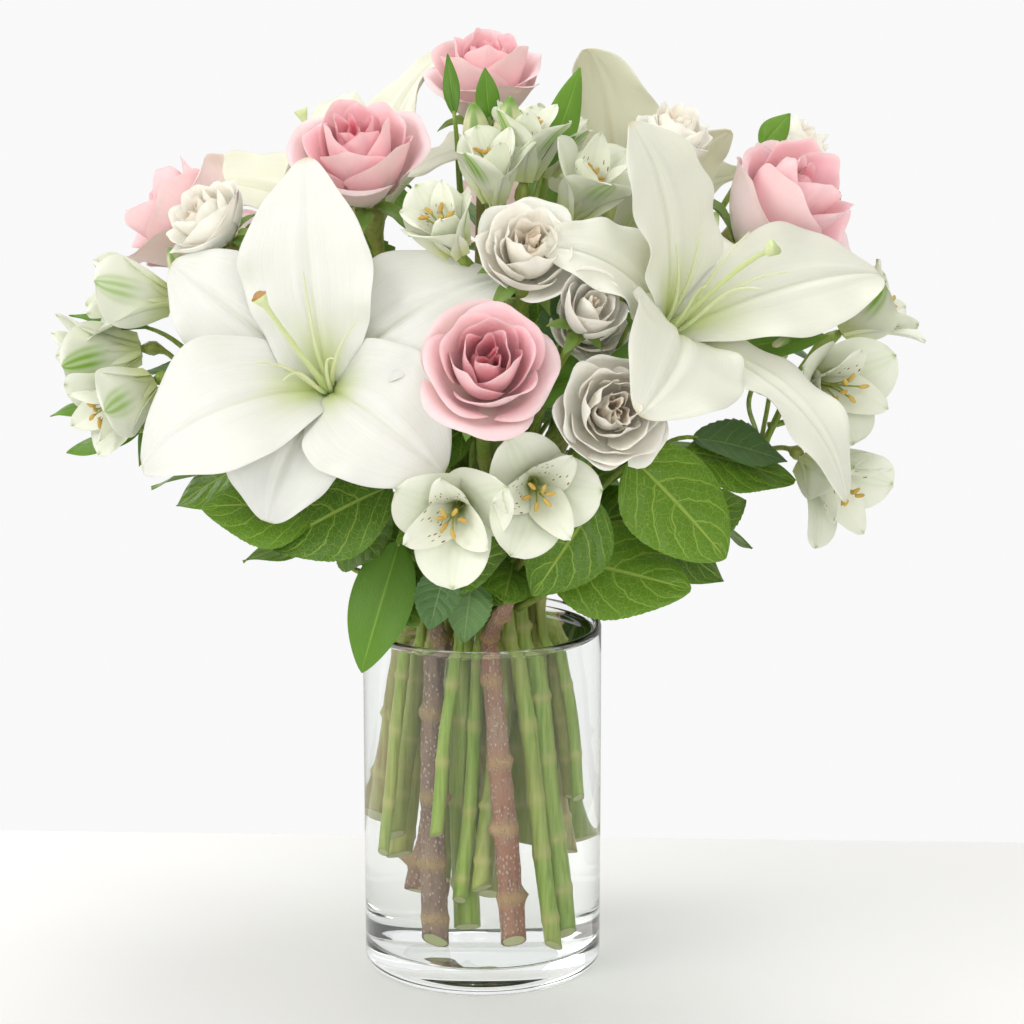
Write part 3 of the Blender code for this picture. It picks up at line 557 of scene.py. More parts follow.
def new_group(name, inputs, outputs):
    """A node group with named number inputs and named outputs."""
    group = bpy.data.node_groups.new(name, "ShaderNodeTree")
    for label, kind, value in inputs:
        made = group.interface.new_socket(label, in_out="INPUT", socket_type=kind)
        if value is not None:
            made.default_value = value
    for label, kind in outputs:
        group.interface.new_socket(label, in_out="OUTPUT", socket_type=kind)
    return group, group.nodes.new("NodeGroupInput"), group.nodes.new("NodeGroupOutput")


def place_group(tree, group, values):
    made = tree.nodes.new("ShaderNodeGroup")
    made.node_tree = group
    for key, value in values.items():
        if isinstance(value, bpy.types.NodeSocket):
            tree.links.new(value, made.inputs[key])
        else:
            made.inputs[key].default_value = value
    return made


def petal_fibre_group():
    """Fine veins that run from a petal's base to its rim, with a soft mottle across them."""
    group, took, gave = new_group(
        "petal fibres",
        [("Fibres", "NodeSocketFloat", 40.0), ("Mottle", "NodeSocketFloat", 60.0)],
        [("Height", "NodeSocketFloat"), ("Shade", "NodeSocketFloat")],
    )
    place = add_node(group, "ShaderNodeTexCoord")
    across = add_node(group, "ShaderNodeSeparateXYZ", {0: place.outputs["UV"]})
    wide = maths(group, "MULTIPLY", across.outputs[0], took.outputs["Fibres"])
    spread = add_node(group, "ShaderNodeCombineXYZ", {0: wide, 1: across.outputs[1]}).outputs[0]
    fibres = noise_of(group, spread, 1.6, 4.0, 0.6)
    mottle = noise_of(group, place.outputs["Object"], took.outputs["Mottle"], 3.0, 0.55)
    height = maths(group, "ADD", fibres, maths(group, "MULTIPLY", mottle, 0.6))
    shade = maths(group, "ADD", maths(group, "MULTIPLY", fibres, 0.6), maths(group, "MULTIPLY", mottle, 0.4))
    group.links.new(height, gave.inputs["Height"])
    group.links.new(shade, gave.inputs["Shade"])
    return group


def add_bump(tree, shader, height, strength, distance):
    bump = add_node(tree, "ShaderNodeBump", {"Strength": strength, "Distance": distance, "Height": height})
    tree.links.new(bump.outputs[0], shader.inputs["Normal"])


def wet_glass_finish():
    """The inner wall under water: glass bends light only a little more than water does."""
    made, tree, shader = new_finish("glass under water", 0.0, IOR=GLASS_BEND / WATER_BEND, Transmission_Weight=1.0)
    place = add_node(tree, "ShaderNodeTexCoord")
    drift = noise_of(tree, place.outputs["Object"], 9.0, 2.0)
    colour = mixed(tree, drift, (0.992, 0.996, 0.990), (0.980, 0.990, 0.984))
    tree.links.new(colour, shader.inputs["Base Color"])
    return clear_for_shadows(made, tree, shader, (0.97, 0.98, 0.97))


def still_water_finish():
    """The side and the bottom of the water, which lie against the glass and show nothing."""
    made, tree, shader = new_finish("water against the glass", 0.0, IOR=1.0, Transmission_Weight=1.0)
    place = add_node(tree, "ShaderNodeTexCoord")
    drift = noise_of(tree, place.outputs["Object"], 14.0, 2.0)
    colour = mixed(tree, drift, (0.995, 0.998, 0.992), (0.985, 0.992, 0.982))
    tree.links.new(colour, shader.inputs["Base Color"])
    return clear_for_shadows(made, tree, shader, (0.98, 0.99, 0.98))


def clear_for_shadows(made, tree, shader, tint):
    """Let the light through to what stands inside, as real clear glass does."""
    clear = add_node(tree, "ShaderNodeBsdfTransparent", {"Color": (*tint, 1.0)})
    path = add_node(tree, "ShaderNodeLightPath")
    values = {0: path.outputs["Is Shadow Ray"], 1: shader.outputs[0], 2: clear.outputs[0]}
    both = add_node(tree, "ShaderNodeMixShader", values)
    tree.links.new(both.outputs[0], tree.nodes["Material Output"].inputs["Surface"])
    return made


def glass_finish():
    made, tree, shader = new_finish("clear polished glass", 0.0, IOR=GLASS_BEND, Transmission_Weight=1.0)
    place = add_node(tree, "ShaderNodeTexCoord")
    smear = noise_of(tree, stretched(tree, place.outputs["Object"], (60, 60, 14)), 1.0, 4.0)
    tree.links.new(maths(tree, "MULTIPLY", band(tree, smear, 0.5, 0.9), 0.03), shader.inputs["Roughness"])
    drift = noise_of(tree, place.outputs["Object"], 9.0, 2.0)
    colour = mixed(tree, drift, (0.985, 0.992, 0.988), (0.965, 0.982, 0.975))
    tree.links.new(colour, shader.inputs["Base Color"])
    add_bump(tree, shader, drift, 0.05, 0.002)
    return clear_for_shadows(made, tree, shader, (0.93, 0.95, 0.94))


def water_finish():
    made, tree, shader = new_finish("still water", 0.0, IOR=WATER_BEND, Transmission_Weight=1.0)
    place = add_node(tree, "ShaderNodeTexCoord")
    ripple = noise_of(tree, place.outputs["Object"], 26.0, 2.0)
    colour = mixed(tree, ripple, (0.99, 0.995, 0.985), (0.975, 0.985, 0.97))
    tree.links.new(colour, shader.inputs["Base Color"])
    add_bump(tree, shader, ripple, 0.08, 0.001)
    return clear_for_shadows(made, tree, shader, (0.97, 0.98, 0.97))


def lily_finish(fibres):
    """White, green in the throat and along the midrib, and warmer in the shade of the folds."""
    made, tree, shader = new_finish(
        "white lily tepal", 0.42, Subsurface_Weight=0.35, Subsurface_Scale=0.004, Specular_IOR_Level=0.35
    )
    shader.inputs["Subsurface Radius"].default_value = (1.0, 0.95, 0.7)
    place = add_node(tree, "ShaderNodeTexCoord")
    part = add_node(tree, "ShaderNodeSeparateXYZ", {0: place.outputs["UV"]})
    across = maths(tree, "ABSOLUTE", maths(tree, "SUBTRACT", part.outputs[0], 0.5))
    along = part.outputs[1]
    fine = place_group(tree, fibres, {"Fibres": 46.0, "Mottle": 45.0})
    creamy = attribute(tree, "chance")
    base = mixed(tree, creamy, (0.79, 0.795, 0.74), (0.74, 0.745, 0.56))
    base = mixed(tree, band(tree, fine.outputs["Shade"], 0.35, 0.75), base, (0.68, 0.70, 0.60), "MIX")
    base = mixed(tree, 0.5, base, mixed(tree, creamy, (0.81, 0.815, 0.77), (0.77, 0.775, 0.60)))
    throat = maths(tree, "MULTIPLY", band(tree, along, 0.42, 0.02), band(tree, across, 0.42, 0.02))
    base = mixed(tree, maths(tree, "MULTIPLY", throat, 0.85), base, (0.55, 0.66, 0.20))
    rib = maths(tree, "MULTIPLY", band(tree, across, 0.035, 0.0), band(tree, along, 0.95, 0.2))
    base = mixed(tree, maths(tree, "MULTIPLY", rib, 0.30), base, (0.66, 0.72, 0.40))
    outside = maths(tree, "MULTIPLY", maths(tree, "MULTIPLY", rib, attribute(tree, "back")), 0.5)
    base = mixed(tree, outside, base, (0.62, 0.50, 0.26))
    tip = maths(tree, "MULTIPLY", band(tree, along, 0.965, 1.0), 0.6)
    base = mixed(tree, tip, base, (0.62, 0.52, 0.25))
    tree.links.new(base, shader.inputs["Base Color"])
    add_bump(tree, shader, fine.outputs["Height"], 0.35, 0.0006)
    return made


def rose_finish(name, fibres, core, middle, outer, base_tint, rough):
    """Deep in the heart and pale outside, paler towards the base, with a soft rim."""
    made, tree, shader = new_finish(
        name, rough, Subsurface_Weight=0.4, Subsurface_Scale=0.004, Specular_IOR_Level=0.3, Sheen_Weight=0.15
    )
    shader.inputs["Subsurface Radius"].default_value = (1.0, 0.6, 0.5)
    place = add_node(tree, "ShaderNodeTexCoord")
    part = add_node(tree, "ShaderNodeSeparateXYZ", {0: place.outputs["UV"]})
    along = part.outputs[1]
    deep = attribute(tree, "depth")
    luck = attribute(tree, "chance")
    fine = place_group(tree, fibres, {"Fibres": 26.0, "Mottle": 110.0})
    drift = maths(tree, "MULTIPLY", maths(tree, "SUBTRACT", luck, 0.5), 0.22)
    inwards = maths(tree, "ADD", deep, drift, True)
    colour = mixed(tree, band(tree, inwards, 0.0, 0.55), outer, middle)
    colour = mixed(tree, band(tree, inwards, 0.55, 1.0), colour, core)
    foot = maths(tree, "MULTIPLY", band(tree, along, 0.55, 0.05), 0.8)
    colour = mixed(tree, foot, colour, base_tint)
    colour = mixed(tree, maths(tree, "MULTIPLY", band(tree, along, 0.9, 1.0), 0.25), colour, outer)
    colour = mixed(tree, maths(tree, "MULTIPLY", attribute(tree, "back"), 0.45), colour, mixed(tree, 0.4, outer, base_tint))
    veins = maths(tree, "MULTIPLY", band(tree, fine.outputs["Shade"], 0.35, 0.7), 0.22)
    colour = mixed(tree, veins, colour, middle)
    tree.links.new(colour, shader.inputs["Base Color"])
    add_bump(tree, shader, fine.outputs["Height"], 0.3, 0.0004)
    return made


def floret_finish(fibres):
    """White with a green stripe and tip on the broad tepals and dark dashes on the narrow ones."""
    made, tree, shader = new_finish(
        "white alstroemeria petal", 0.4, Subsurface_Weight=0.3, Subsurface_Scale=0.003, Specular_IOR_Level=0.35
    )
    shader.inputs["Subsurface Radius"].default_value = (0.9, 1.0, 0.7)
    place = add_node(tree, "ShaderNodeTexCoord")
    part = add_node(tree, "ShaderNodeSeparateXYZ", {0: place.outputs["UV"]})
    across = maths(tree, "ABSOLUTE", maths(tree, "SUBTRACT", part.outputs[0], 0.5))
    along = part.outputs[1]
    narrow = attribute(tree, "depth")
    luck = attribute(tree, "chance")
    fine = place_group(tree, fibres, {"Fibres": 34.0, "Mottle": 120.0})
    colour = mixed(tree, fine.outputs["Shade"], (0.88, 0.90, 0.80), (0.78, 0.83, 0.62))
    foot = band(tree, along, 0.40, 0.0)
    colour = mixed(tree, maths(tree, "MULTIPLY", foot, 0.8), colour, (0.60, 0.68, 0.22))
    tip = maths(tree, "MULTIPLY", band(tree, along, 0.93, 1.0), band(tree, across, 0.3, 0.0))
    colour = mixed(tree, maths(tree, "MULTIPLY", tip, 0.7), colour, (0.30, 0.46, 0.08))
    rays = add_node(tree, "ShaderNodeTexWave", {"Vector": place.outputs["UV"], "Scale": 2.6, "Distortion": 1.2},
                    bands_direction="X").outputs[1]
    stripe = maths(tree, "MULTIPLY", band(tree, across, 0.26, 0.08), band(tree, along, 0.25, 0.65))
    stripe = maths(tree, "MULTIPLY", stripe, maths(tree, "ADD", maths(tree, "MULTIPLY", rays, 0.5), 0.5))
    stripe = maths(tree, "MULTIPLY", stripe, band(tree, narrow, 0.5, 0.4))
    facing = maths(tree, "ADD", maths(tree, "MULTIPLY", attribute(tree, "back"), 0.85), 0.15)
    stripe = maths(tree, "MULTIPLY", stripe, facing)
    colour = mixed(tree, maths(tree, "MULTIPLY", stripe, maths(tree, "ADD", luck, 0.5, True)), colour,
                   (0.20, 0.42, 0.03))
    dash_place = stretched(tree, place.outputs["UV"], (15.0, 9.0, 1.0))
    dashes = add_node(tree, "ShaderNodeTexVoronoi", {"Vector": dash_place, "Scale": 1.0, "Randomness": 0.8})
    dash = band(tree, dashes.outputs["Distance"], 0.30, 0.20)
    where = maths(tree, "MULTIPLY", band(tree, along, 0.25, 0.4), band(tree, along, 0.82, 0.62))
    dash = maths(tree, "MULTIPLY", maths(tree, "MULTIPLY", dash, where), band(tree, narrow, 0.9, 1.0))
    colour = mixed(tree, dash, colour, (0.16, 0.03, 0.02))
    tree.links.new(colour, shader.inputs["Base Color"])
    add_bump(tree, shader, fine.outputs["Height"], 0.3, 0.0004)
    return made


def leaf_vein_group():
    """A midrib, side veins that curve to the tip, and a net of small veins between them."""
    group, took, gave = new_group(
        "leaf veins",
        [("Pairs", "NodeSocketFloat", 6.0), ("Slope", "NodeSocketFloat", 2.2), ("Net", "NodeSocketFloat", 16.0),
         ("Net strength", "NodeSocketFloat", 0.6), ("Width", "NodeSocketFloat", 0.06)],
        [("Vein", "NodeSocketFloat"), ("Height", "NodeSocketFloat")],
    )
    place = add_node(group, "ShaderNodeTexCoord")
    part = add_node(group, "ShaderNodeSeparateXYZ", {0: place.outputs["UV"]})
    across = maths(group, "MULTIPLY", maths(group, "ABSOLUTE", maths(group, "SUBTRACT", part.outputs[0], 0.5)), 2.0)
    along = part.outputs[1]
    rib = band(group, across, 0.055, 0.015)
    wander = noise_of(group, stretched(group, place.outputs["UV"], (5.0, 9.0, 1.0)), 1.0, 2.0)
    bent = maths(group, "POWER", across, 1.25)
    row = maths(group, "MULTIPLY", along, took.outputs["Pairs"])
    row = maths(group, "SUBTRACT", row, maths(group, "MULTIPLY", bent, took.outputs["Slope"]))
    row = maths(group, "ADD", row, maths(group, "MULTIPLY", wander, 0.5))
    saw = maths(group, "ABSOLUTE", maths(group, "SUBTRACT", maths(group, "FRACT", row), 0.5))
    edge = add_node(group, "ShaderNodeMapRange", {0: saw, 1: took.outputs["Width"], 2: 0.0}).outputs[0]
    side_vein = maths(group, "MULTIPLY", edge, band(group, across, 1.0, 0.75))
    net_place = stretched(group, place.outputs["UV"], (1.0, 1.7, 1.0))
    values = {"Vector": net_place, "Scale": took.outputs["Net"], "Randomness": 1.0}
    cells = add_node(group, "ShaderNodeTexVoronoi", values, feature="DISTANCE_TO_EDGE")
    net = maths(group, "MULTIPLY", band(group, cells.outputs[0], 0.05, 0.0), took.outputs["Net strength"])
    vein = maths(group, "MAXIMUM", maths(group, "MAXIMUM", rib, side_vein), net)
    puff = maths(group, "SUBTRACT", maths(group, "MULTIPLY", saw, 1.4), maths(group, "MULTIPLY", net, 0.3))
    height = maths(group, "SUBTRACT", puff, maths(group, "MULTIPLY", rib, 0.8))
    group.links.new(vein, gave.inputs["Vein"])
    group.links.new(height, gave.inputs["Height"])
    return group


def leaf_finish(name, veins, dark, light, vein_tint, values, rough, relief):
    made, tree, shader = new_finish(
        name, rough, Subsurface_Weight=0.08, Subsurface_Scale=0.002, Specular_IOR_Level=0.3
    )
    shader.inputs["Subsurface Radius"].default_value = (0.5, 1.0, 0.2)
    place = add_node(tree, "ShaderNodeTexCoord")
    luck = attribute(tree, "chance")
    vein = place_group(tree, veins, values)
    patches = noise_of(tree, place.outputs["Object"], 55.0, 3.0)
    share = maths(tree, "ADD", maths(tree, "MULTIPLY", luck, 0.6), maths(tree, "MULTIPLY", patches, 0.4))
    colour = mixed(tree, share, dark, light)
    colour = mixed(tree, maths(tree, "MULTIPLY", vein.outputs["Vein"], 0.72), colour, vein_tint)
    grain = noise_of(tree, place.outputs["Object"], 1400.0, 2.0)
    colour = mixed(tree, maths(tree, "MULTIPLY", grain, 0.18), colour, vein_tint)
    tree.links.new(colour, shader.inputs["Base Color"])
    tree.links.new(band(tree, patches, -0.6, 1.9), shader.inputs["Roughness"])
    add_bump(tree, shader, vein.outputs["Height"], relief, 0.0012)
    return made


def stem_finish():
    """Fresh green, olive or brown by the stem, with browner rings where the joints are."""
    made, tree, shader = new_finish("green stem", 0.38, Subsurface_Weight=0.08, Subsurface_Scale=0.002)
    place = add_node(tree, "ShaderNodeTexCoord")
    brown = attribute(tree, "chance")
    joint = attribute(tree, "depth")
    long = noise_of(tree, stretched(tree, place.outputs["Object"], (620, 620, 22)), 1.0, 4.0, 0.6)
    patches = noise_of(tree, place.outputs["Object"], 36.0, 3.0)
    share = maths(tree, "ADD", brown, maths(tree, "MULTIPLY", maths(tree, "SUBTRACT", patches, 0.5), 0.9), True)
    colour = mixed(tree, band(tree, share, 0.0, 0.5), (0.18, 0.31, 0.025), (0.29, 0.30, 0.065))
    colour = mixed(tree, band(tree, share, 0.5, 1.0), colour, (0.27, 0.17, 0.06))
    colour = mixed(tree, maths(tree, "MULTIPLY", band(tree, long, 0.35, 0.7), 0.55), colour, (0.42, 0.48, 0.14))
    dark = maths(tree, "MULTIPLY", band(tree, long, 0.42, 0.25), 0.45)
    colour = mixed(tree, dark, colour, (0.08, 0.14, 0.012))
    colour = mixed(tree, maths(tree, "MULTIPLY", joint, 0.7), colour, (0.46, 0.42, 0.15))
    tree.links.new(colour, shader.inputs["Base Color"])
    add_bump(tree, shader, long, 0.5, 0.0007)
    return made


def bark_finish():
    """Grey to red brown bark with lengthwise streaks and pale specks."""
    made, tree, shader = new_finish("brown bark", 0.6)
    place = add_node(tree, "ShaderNodeTexCoord")
    warm = attribute(tree, "chance")
    joint = attribute(tree, "depth")
    streaks = noise_of(tree, stretched(tree, place.outputs["Object"], (700, 700, 60)), 1.0, 5.0, 0.65)
    patches = noise_of(tree, place.outputs["Object"], 60.0, 4.0)
    speck_place = stretched(tree, place.outputs["Object"], (780, 780, 400))
    specks = add_node(tree, "ShaderNodeTexVoronoi", {"Vector": speck_place, "Scale": 1.0})
    colour = mixed(tree, warm, (0.20, 0.135, 0.10), (0.30, 0.13, 0.075))
    colour = mixed(tree, maths(tree, "MULTIPLY", band(tree, patches, 0.4, 0.7), 0.7), colour, (0.34, 0.23, 0.16))
    dark = maths(tree, "MULTIPLY", band(tree, streaks, 0.52, 0.72), 0.75)
    colour = mixed(tree, dark, colour, (0.075, 0.045, 0.035))
    pale = maths(tree, "MULTIPLY", band(tree, specks.outputs["Distance"], 0.42, 0.16), 0.85)
    colour = mixed(tree, pale, colour, (0.58, 0.47, 0.38))
    colour = mixed(tree, maths(tree, "MULTIPLY", joint, 0.75), colour, (0.40, 0.28, 0.12))
    tree.links.new(colour, shader.inputs["Base Color"])
    add_bump(tree, shader, maths(tree, "ADD", streaks, pale), 0.7, 0.0012)
    return made


def plain_finish(name, first, second, rough, scale=90.0, relief=0.25, subsurface=0.1):
    """A soft mottle between two near colours, for small parts such as pistils and cut ends."""
    made, tree, shader = new_finish(name, rough, Subsurface_Weight=subsurface, Subsurface_Scale=0.002)
    place = add_node(tree, "ShaderNodeTexCoord")
    luck = attribute(tree, "chance")
    spots = noise_of(tree, place.outputs["Object"], scale, 4.0)
    share = maths(tree, "ADD", maths(tree, "MULTIPLY", luck, 0.5), maths(tree, "MULTIPLY", spots, 0.6), True)
    tree.links.new(mixed(tree, share, first, second), shader.inputs["Base Color"])
    add_bump(tree, shader, spots, relief, 0.0005)
    return made


def table_finish():
    made, tree, shader = new_finish("pale table", 0.45)
    place = add_node(tree, "ShaderNodeTexCoord")
    drift = noise_of(tree, place.outputs["Object"], 1.6, 2.0)
    tree.links.new(mixed(tree, drift, (0.86, 0.86, 0.865), (0.83, 0.83, 0.84)), shader.inputs["Base Color"])
    return made


# ---------------------------------------------------------------- vase and water


def build_vase(dry, wet):
    half = (VASE_RADIUS - INNER_RADIUS) / 2
    fillet = 0.004
    profile = [(0.0, VASE_FLOOR + 0.0006), (INNER_RADIUS * 0.6, VASE_FLOOR + 0.0002)]
    profile += arc((INNER_RADIUS - fillet, VASE_FLOOR + fillet), fillet, 270, 360, 8)
    for step in range(1, 11):
        profile.append((INNER_RADIUS, blend(VASE_FLOOR + fillet, WET_HEIGHT, step / 10)))
    profile += arc((INNER_RADIUS + half, VASE_HEIGHT - half), half, 180, 0, 10)
    for step in range(1, 12):
        profile.append((VASE_RADIUS, blend(VASE_HEIGHT - half, VASE_HEEL, step / 12)))
    profile += arc((VASE_RADIUS - VASE_HEEL, VASE_HEEL), VASE_HEEL, 0, -84, 10)
    profile += [(VASE_RADIUS * 0.72, 0.0), (VASE_RADIUS * 0.62, 0.0008), (0.0, 0.0020)]
    bm = spun(profile)
    for face in bm.faces:
        middle = face.calc_center_median()
        inside = math.hypot(middle.x, middle.y) < INNER_RADIUS + 0.0001 and middle.z > VASE_FLOOR
        if inside and middle.z < WET_HEIGHT:
            face.material_index = 1
    return add_piece("clear_glass_vase", bm, [dry, wet], ["vase"])


def build_water(top, against):
    """Water up to just below the rim, drawn up a little where it meets the glass."""
    wet = INNER_RADIUS - 0.00005
    fillet = 0.004
    low = WATER_TOP - 0.0006
    profile = [(0.0, low)]
    for step in range(1, 9):
        share = step / 8
        profile.append((wet - 0.006 * (1 - share), blend(low, WET_HEIGHT, share**3)))
    for step in range(1, 11):
        profile.append((wet, blend(WET_HEIGHT, VASE_FLOOR + fillet, step / 10)))
    profile += arc((wet - fillet, VASE_FLOOR + fillet + 0.0001), fillet, 0, -90, 8)[1:]
    profile.append((0.0, VASE_FLOOR + 0.0007))
    bm = spun(profile)
    for face in bm.faces:
        if face.normal.z < 0.3:
            face.material_index = 1
    return add_piece("water_in_the_vase", bm, [top, against], ["water"])


# ---------------------------------------------------------------- stems


def stem_route(name, end, end_way, wobble):
    """The stem's path: nearly straight inside the vase, then a bend up to its flower."""
    _, neck, foot, cut, _ = STEMS[name]
    low = Vector((foot[0] / 1000, foot[1] / 1000, FOOT_HEIGHT))
    high = Vector((neck[0] / 1000, neck[1] / 1000, NECK_HEIGHT))
    low = low.lerp(high, (cut / 1000 - FOOT_HEIGHT) / (NECK_HEIGHT - FOOT_HEIGHT))
    way = (high - low).normalized()
    seed = sum(ord(letter) for letter in name) * 0.37
    straight = 0.86 if wobble > 0.002 else 1.0
    points = []
    for index in range(48):
        share = index / 48
        drift = noise.noise_vector(Vector((seed, share * 2.2, 0.0)))
        drift.z = 0.0
        points.append(low.lerp(high, share * straight) + drift * wobble * math.sin(math.pi * share))
    return points + curve_points(low.lerp(high, straight), way, end, end_way, 34)


def joints_of(name, spacing, length):
    """Where the joints are along a stem, as shares, each with the side that its scar is on."""
    rng = random.Random(name)
    joints = []
    place = rng.uniform(0.25, 0.9) * spacing
    turn = rng.uniform(0.0, 6.28)
    while place < length - 0.01:
        joints.append((place / length, turn))
        place += spacing * rng.uniform(0.75, 1.25)
        turn += 2.4
    return joints


def path_length(points):
    return sum((ahead - behind).length for behind, ahead in zip(points, points[1:]))


def build_stem(name, end, end_way, kind, finishes, slot, branches=(), hip=1.0):
    """One stem with its joints, its cut foot, the swelling under its flower and its branches."""
    radius = STEMS[name][0]
    brown = STEMS[name][4]
    points = stem_route(name, end, end_way, {"bark": 0.0030, "green": 0.0018}[kind])
    length = path_length(points)
    joints = joints_of(name, {"bark": 0.026, "green": 0.040}[kind], length)
    scar = {"bark": 0.50, "green": 0.20}[kind]
    ring = {"bark": 0.12, "green": 0.15}[kind]
    rough = {"bark": 0.10, "green": 0.03}[kind]
    seed = len(name) + ord(name[-1])
    thin = {"bark": 0.55, "green": 0.78}[kind]

    def radius_at(share, turn):
        size = radius * blend(1.08, thin, share)
        for place, side in joints:
            near = hump(share, place, 0.0022 / length)
            apart = 1.0 - math.cos(turn - side)
            size += radius * near * (ring + scar * math.exp(-apart * 4.0))
        where = Vector((math.cos(turn) * 1.5, math.sin(turn) * 1.5, share * length * 160 + seed))
        size += radius * rough * noise.noise(where)
        if hip > 1.0:
            size += radius * (hip - 0.78) * smooth((share - 0.965) / 0.03) * 0.95
        return size

    def joint_at(_, rise):
        return max([hump(rise, place, 0.0025 / length) for place, _ in joints] + [0.0])

    bm = new_mesh()
    rng = random.Random(name + " cut")
    cut = (rng.uniform(0.5, 0.95), math.pi / 2 + rng.uniform(-1.0, 1.0))
    caps = tube(bm, points, radius_at, 18, joint_at, brown, 0, cut)
    lowest = min(caps, key=lambda face: face.calc_center_median().z)
    lowest.material_index = 1
    inset = bmesh.ops.inset_region(bm, faces=[lowest], thickness=radius * 0.16, depth=0.0)
    for face in inset["faces"]:
        face.material_index = 0
    for start_share, base, axis in branches:
        start = points[round(start_share * (len(points) - 1))]
        leave = ((base - start).normalized() + UP * 0.4).normalized()
        branch = curve_points(start, leave, base, axis, 18)

        def branch_radius(share, turn):
            return 0.0017 + 0.0006 * hump(share, 0.0, 0.1) + 0.0026 * smooth((share - 0.93) / 0.06)

        tube(bm, branch, branch_radius, 10, 0.0, brown * 0.5)
    return add_piece(name + "_fine", bm, finishes, [name])


# ---------------------------------------------------------------- lilies


def tepal_width(share, blunt):
    """Half width along a tepal, as a share of the widest: narrow claw, broad middle, tip."""
    swell = math.sin(math.pi * min(1.0, 0.10 + 0.90 * share)) ** blunt
    return max(swell * (0.55 + 0.45 * math.sin(math.pi * share**1.2)), 0.02)


def tepal_path(length, opening, tip, start_radius, power=1.5, steps=60):
    """How far out and up a tepal's middle line is, and its angle, at even steps."""
    path = [(start_radius, 0.0015, math.radians(opening))]
    out, rise = start_radius, 0.0015
    for index in range(steps):
        angle = math.radians(opening + (tip - opening) * ((index + 0.5) / steps) ** power)
        out += length / steps * math.sin(angle)
        rise += length / steps * math.cos(angle)
        path.append((out, rise, angle))
    return path


def tepal_shape(place, turn, path, half_width, look):
    """The surface of one tepal. look has its cup, wave, groove, bend, fullness and phase."""
    heading = Vector((math.sin(math.radians(turn)), math.cos(math.radians(turn)), 0.0))
    across = Vector((heading.y, -heading.x, 0.0))
    steps = len(path) - 1

    def shape(side, rise):
        out, up, angle = path[round(rise * steps)]
        width = tepal_width(rise, look["full"])
        half = half_width * width
        inward = UP * math.sin(angle) - heading * math.cos(angle)
        edge = abs(side)
        point = heading * out + UP * (up + look["floor"])
        point += across * (half * side + look["bend"] * rise**2)
        cup = look["cup"] + 0.45 * (1.0 - rise) ** 5
        point += inward * half * cup * edge**1.7
        groove = hump(side, 0.0, 0.07) - 0.55 * hump(edge, 0.17, 0.08)
        point -= inward * look["groove"] * groove * math.sin(math.pi * min(1.0, rise * 0.9 + 0.08))
        wave = math.sin(rise * look["ripples"] + look["phase"] + side * 1.3)
        wave += 0.6 * math.sin(rise * look["ripples"] * 2.3 + look["phase"] * 2.0 - side)
        point += inward * look["wave"] * wave * edge**2.5 * width
        point += inward * look["twist"] * half * side * rise**2
        return place @ point

    return shape


def build_lily_whorl(name, place, tepals, size, radius, floor, cup, finish, cream):
    rng = random.Random(name)
    bm = new_mesh()
    length = LILY_TEPAL * size
    for turn, share, half_share, opening, tip, sweep in tepals:
        path = tepal_path(length * share, opening, tip, radius)
        look = {
            "cup": cup, "floor": floor, "full": 0.46, "groove": 0.0015, "ripples": rng.uniform(8, 12),
            "phase": rng.uniform(0, 6), "wave": 0.0030, "bend": length * share * sweep,
            "twist": rng.uniform(-0.22, 0.22),
        }
        shape = tepal_shape(place, turn, path, length * half_share * 1.05, look)
        sheet(bm, 28, 60, shape, PETAL_THICKNESS * 2.0, 0.0, cream)
    return add_piece(name + "_fine", bm, [finish], [name])


def build_lily_centre(name, place, size, end, finishes, facing_up):
    """The pistil with its lobed stigma, and six filaments whose anthers have been taken off."""
    rng = random.Random(name)
    bm = new_mesh()
    tip = Vector(end) * size
    way = (tip.normalized() + Vector((tip.x, tip.y, 0.0)).normalized() * 0.5).normalized()
    style = curve_points(place @ Vector((0, 0, 0.002)), place.to_3x3() @ UP, place @ tip, place.to_3x3() @ way, 30)

    def style_radius(share, turn):
        swell = 0.0022 * hump(share, 1.0, 0.045) * (1.0 + 0.28 * math.cos(3 * turn))
        return size * (blend(0.0017, 0.0011, smooth(share * 3)) + swell + 0.0008 * hump(share, 0.0, 0.12))

    caps = tube(bm, style, style_radius, 18, lambda _, rise: smooth((rise - 0.92) / 0.06), 0.0)
    for cap in caps:
        cap.material_index = 1
    for index in range(6):
        turn = math.radians(60 * index + 30) + rng.uniform(-0.15, 0.15)
        out = Vector((math.cos(turn), math.sin(turn), 0.0))
        spread = rng.uniform(0.016, 0.026)
        far = (out * spread + UP * rng.uniform(0.040, 0.056) + Vector((0, 0.008 * facing_up, 0))) * size
        start = place @ (out * 0.002 + UP * 0.002)
        ways = [place.to_3x3() @ (out * 0.25 + UP).normalized(), place.to_3x3() @ (out * 0.9 + UP).normalized()]
        line = curve_points(start, ways[0], place @ far, ways[1], 16)
        tube(bm, line, lambda share, _: size * blend(0.0010, 0.00028, share**1.5), 8, 0.0, 0.5)
    return add_piece(name + "_fine", bm, finishes, [name])


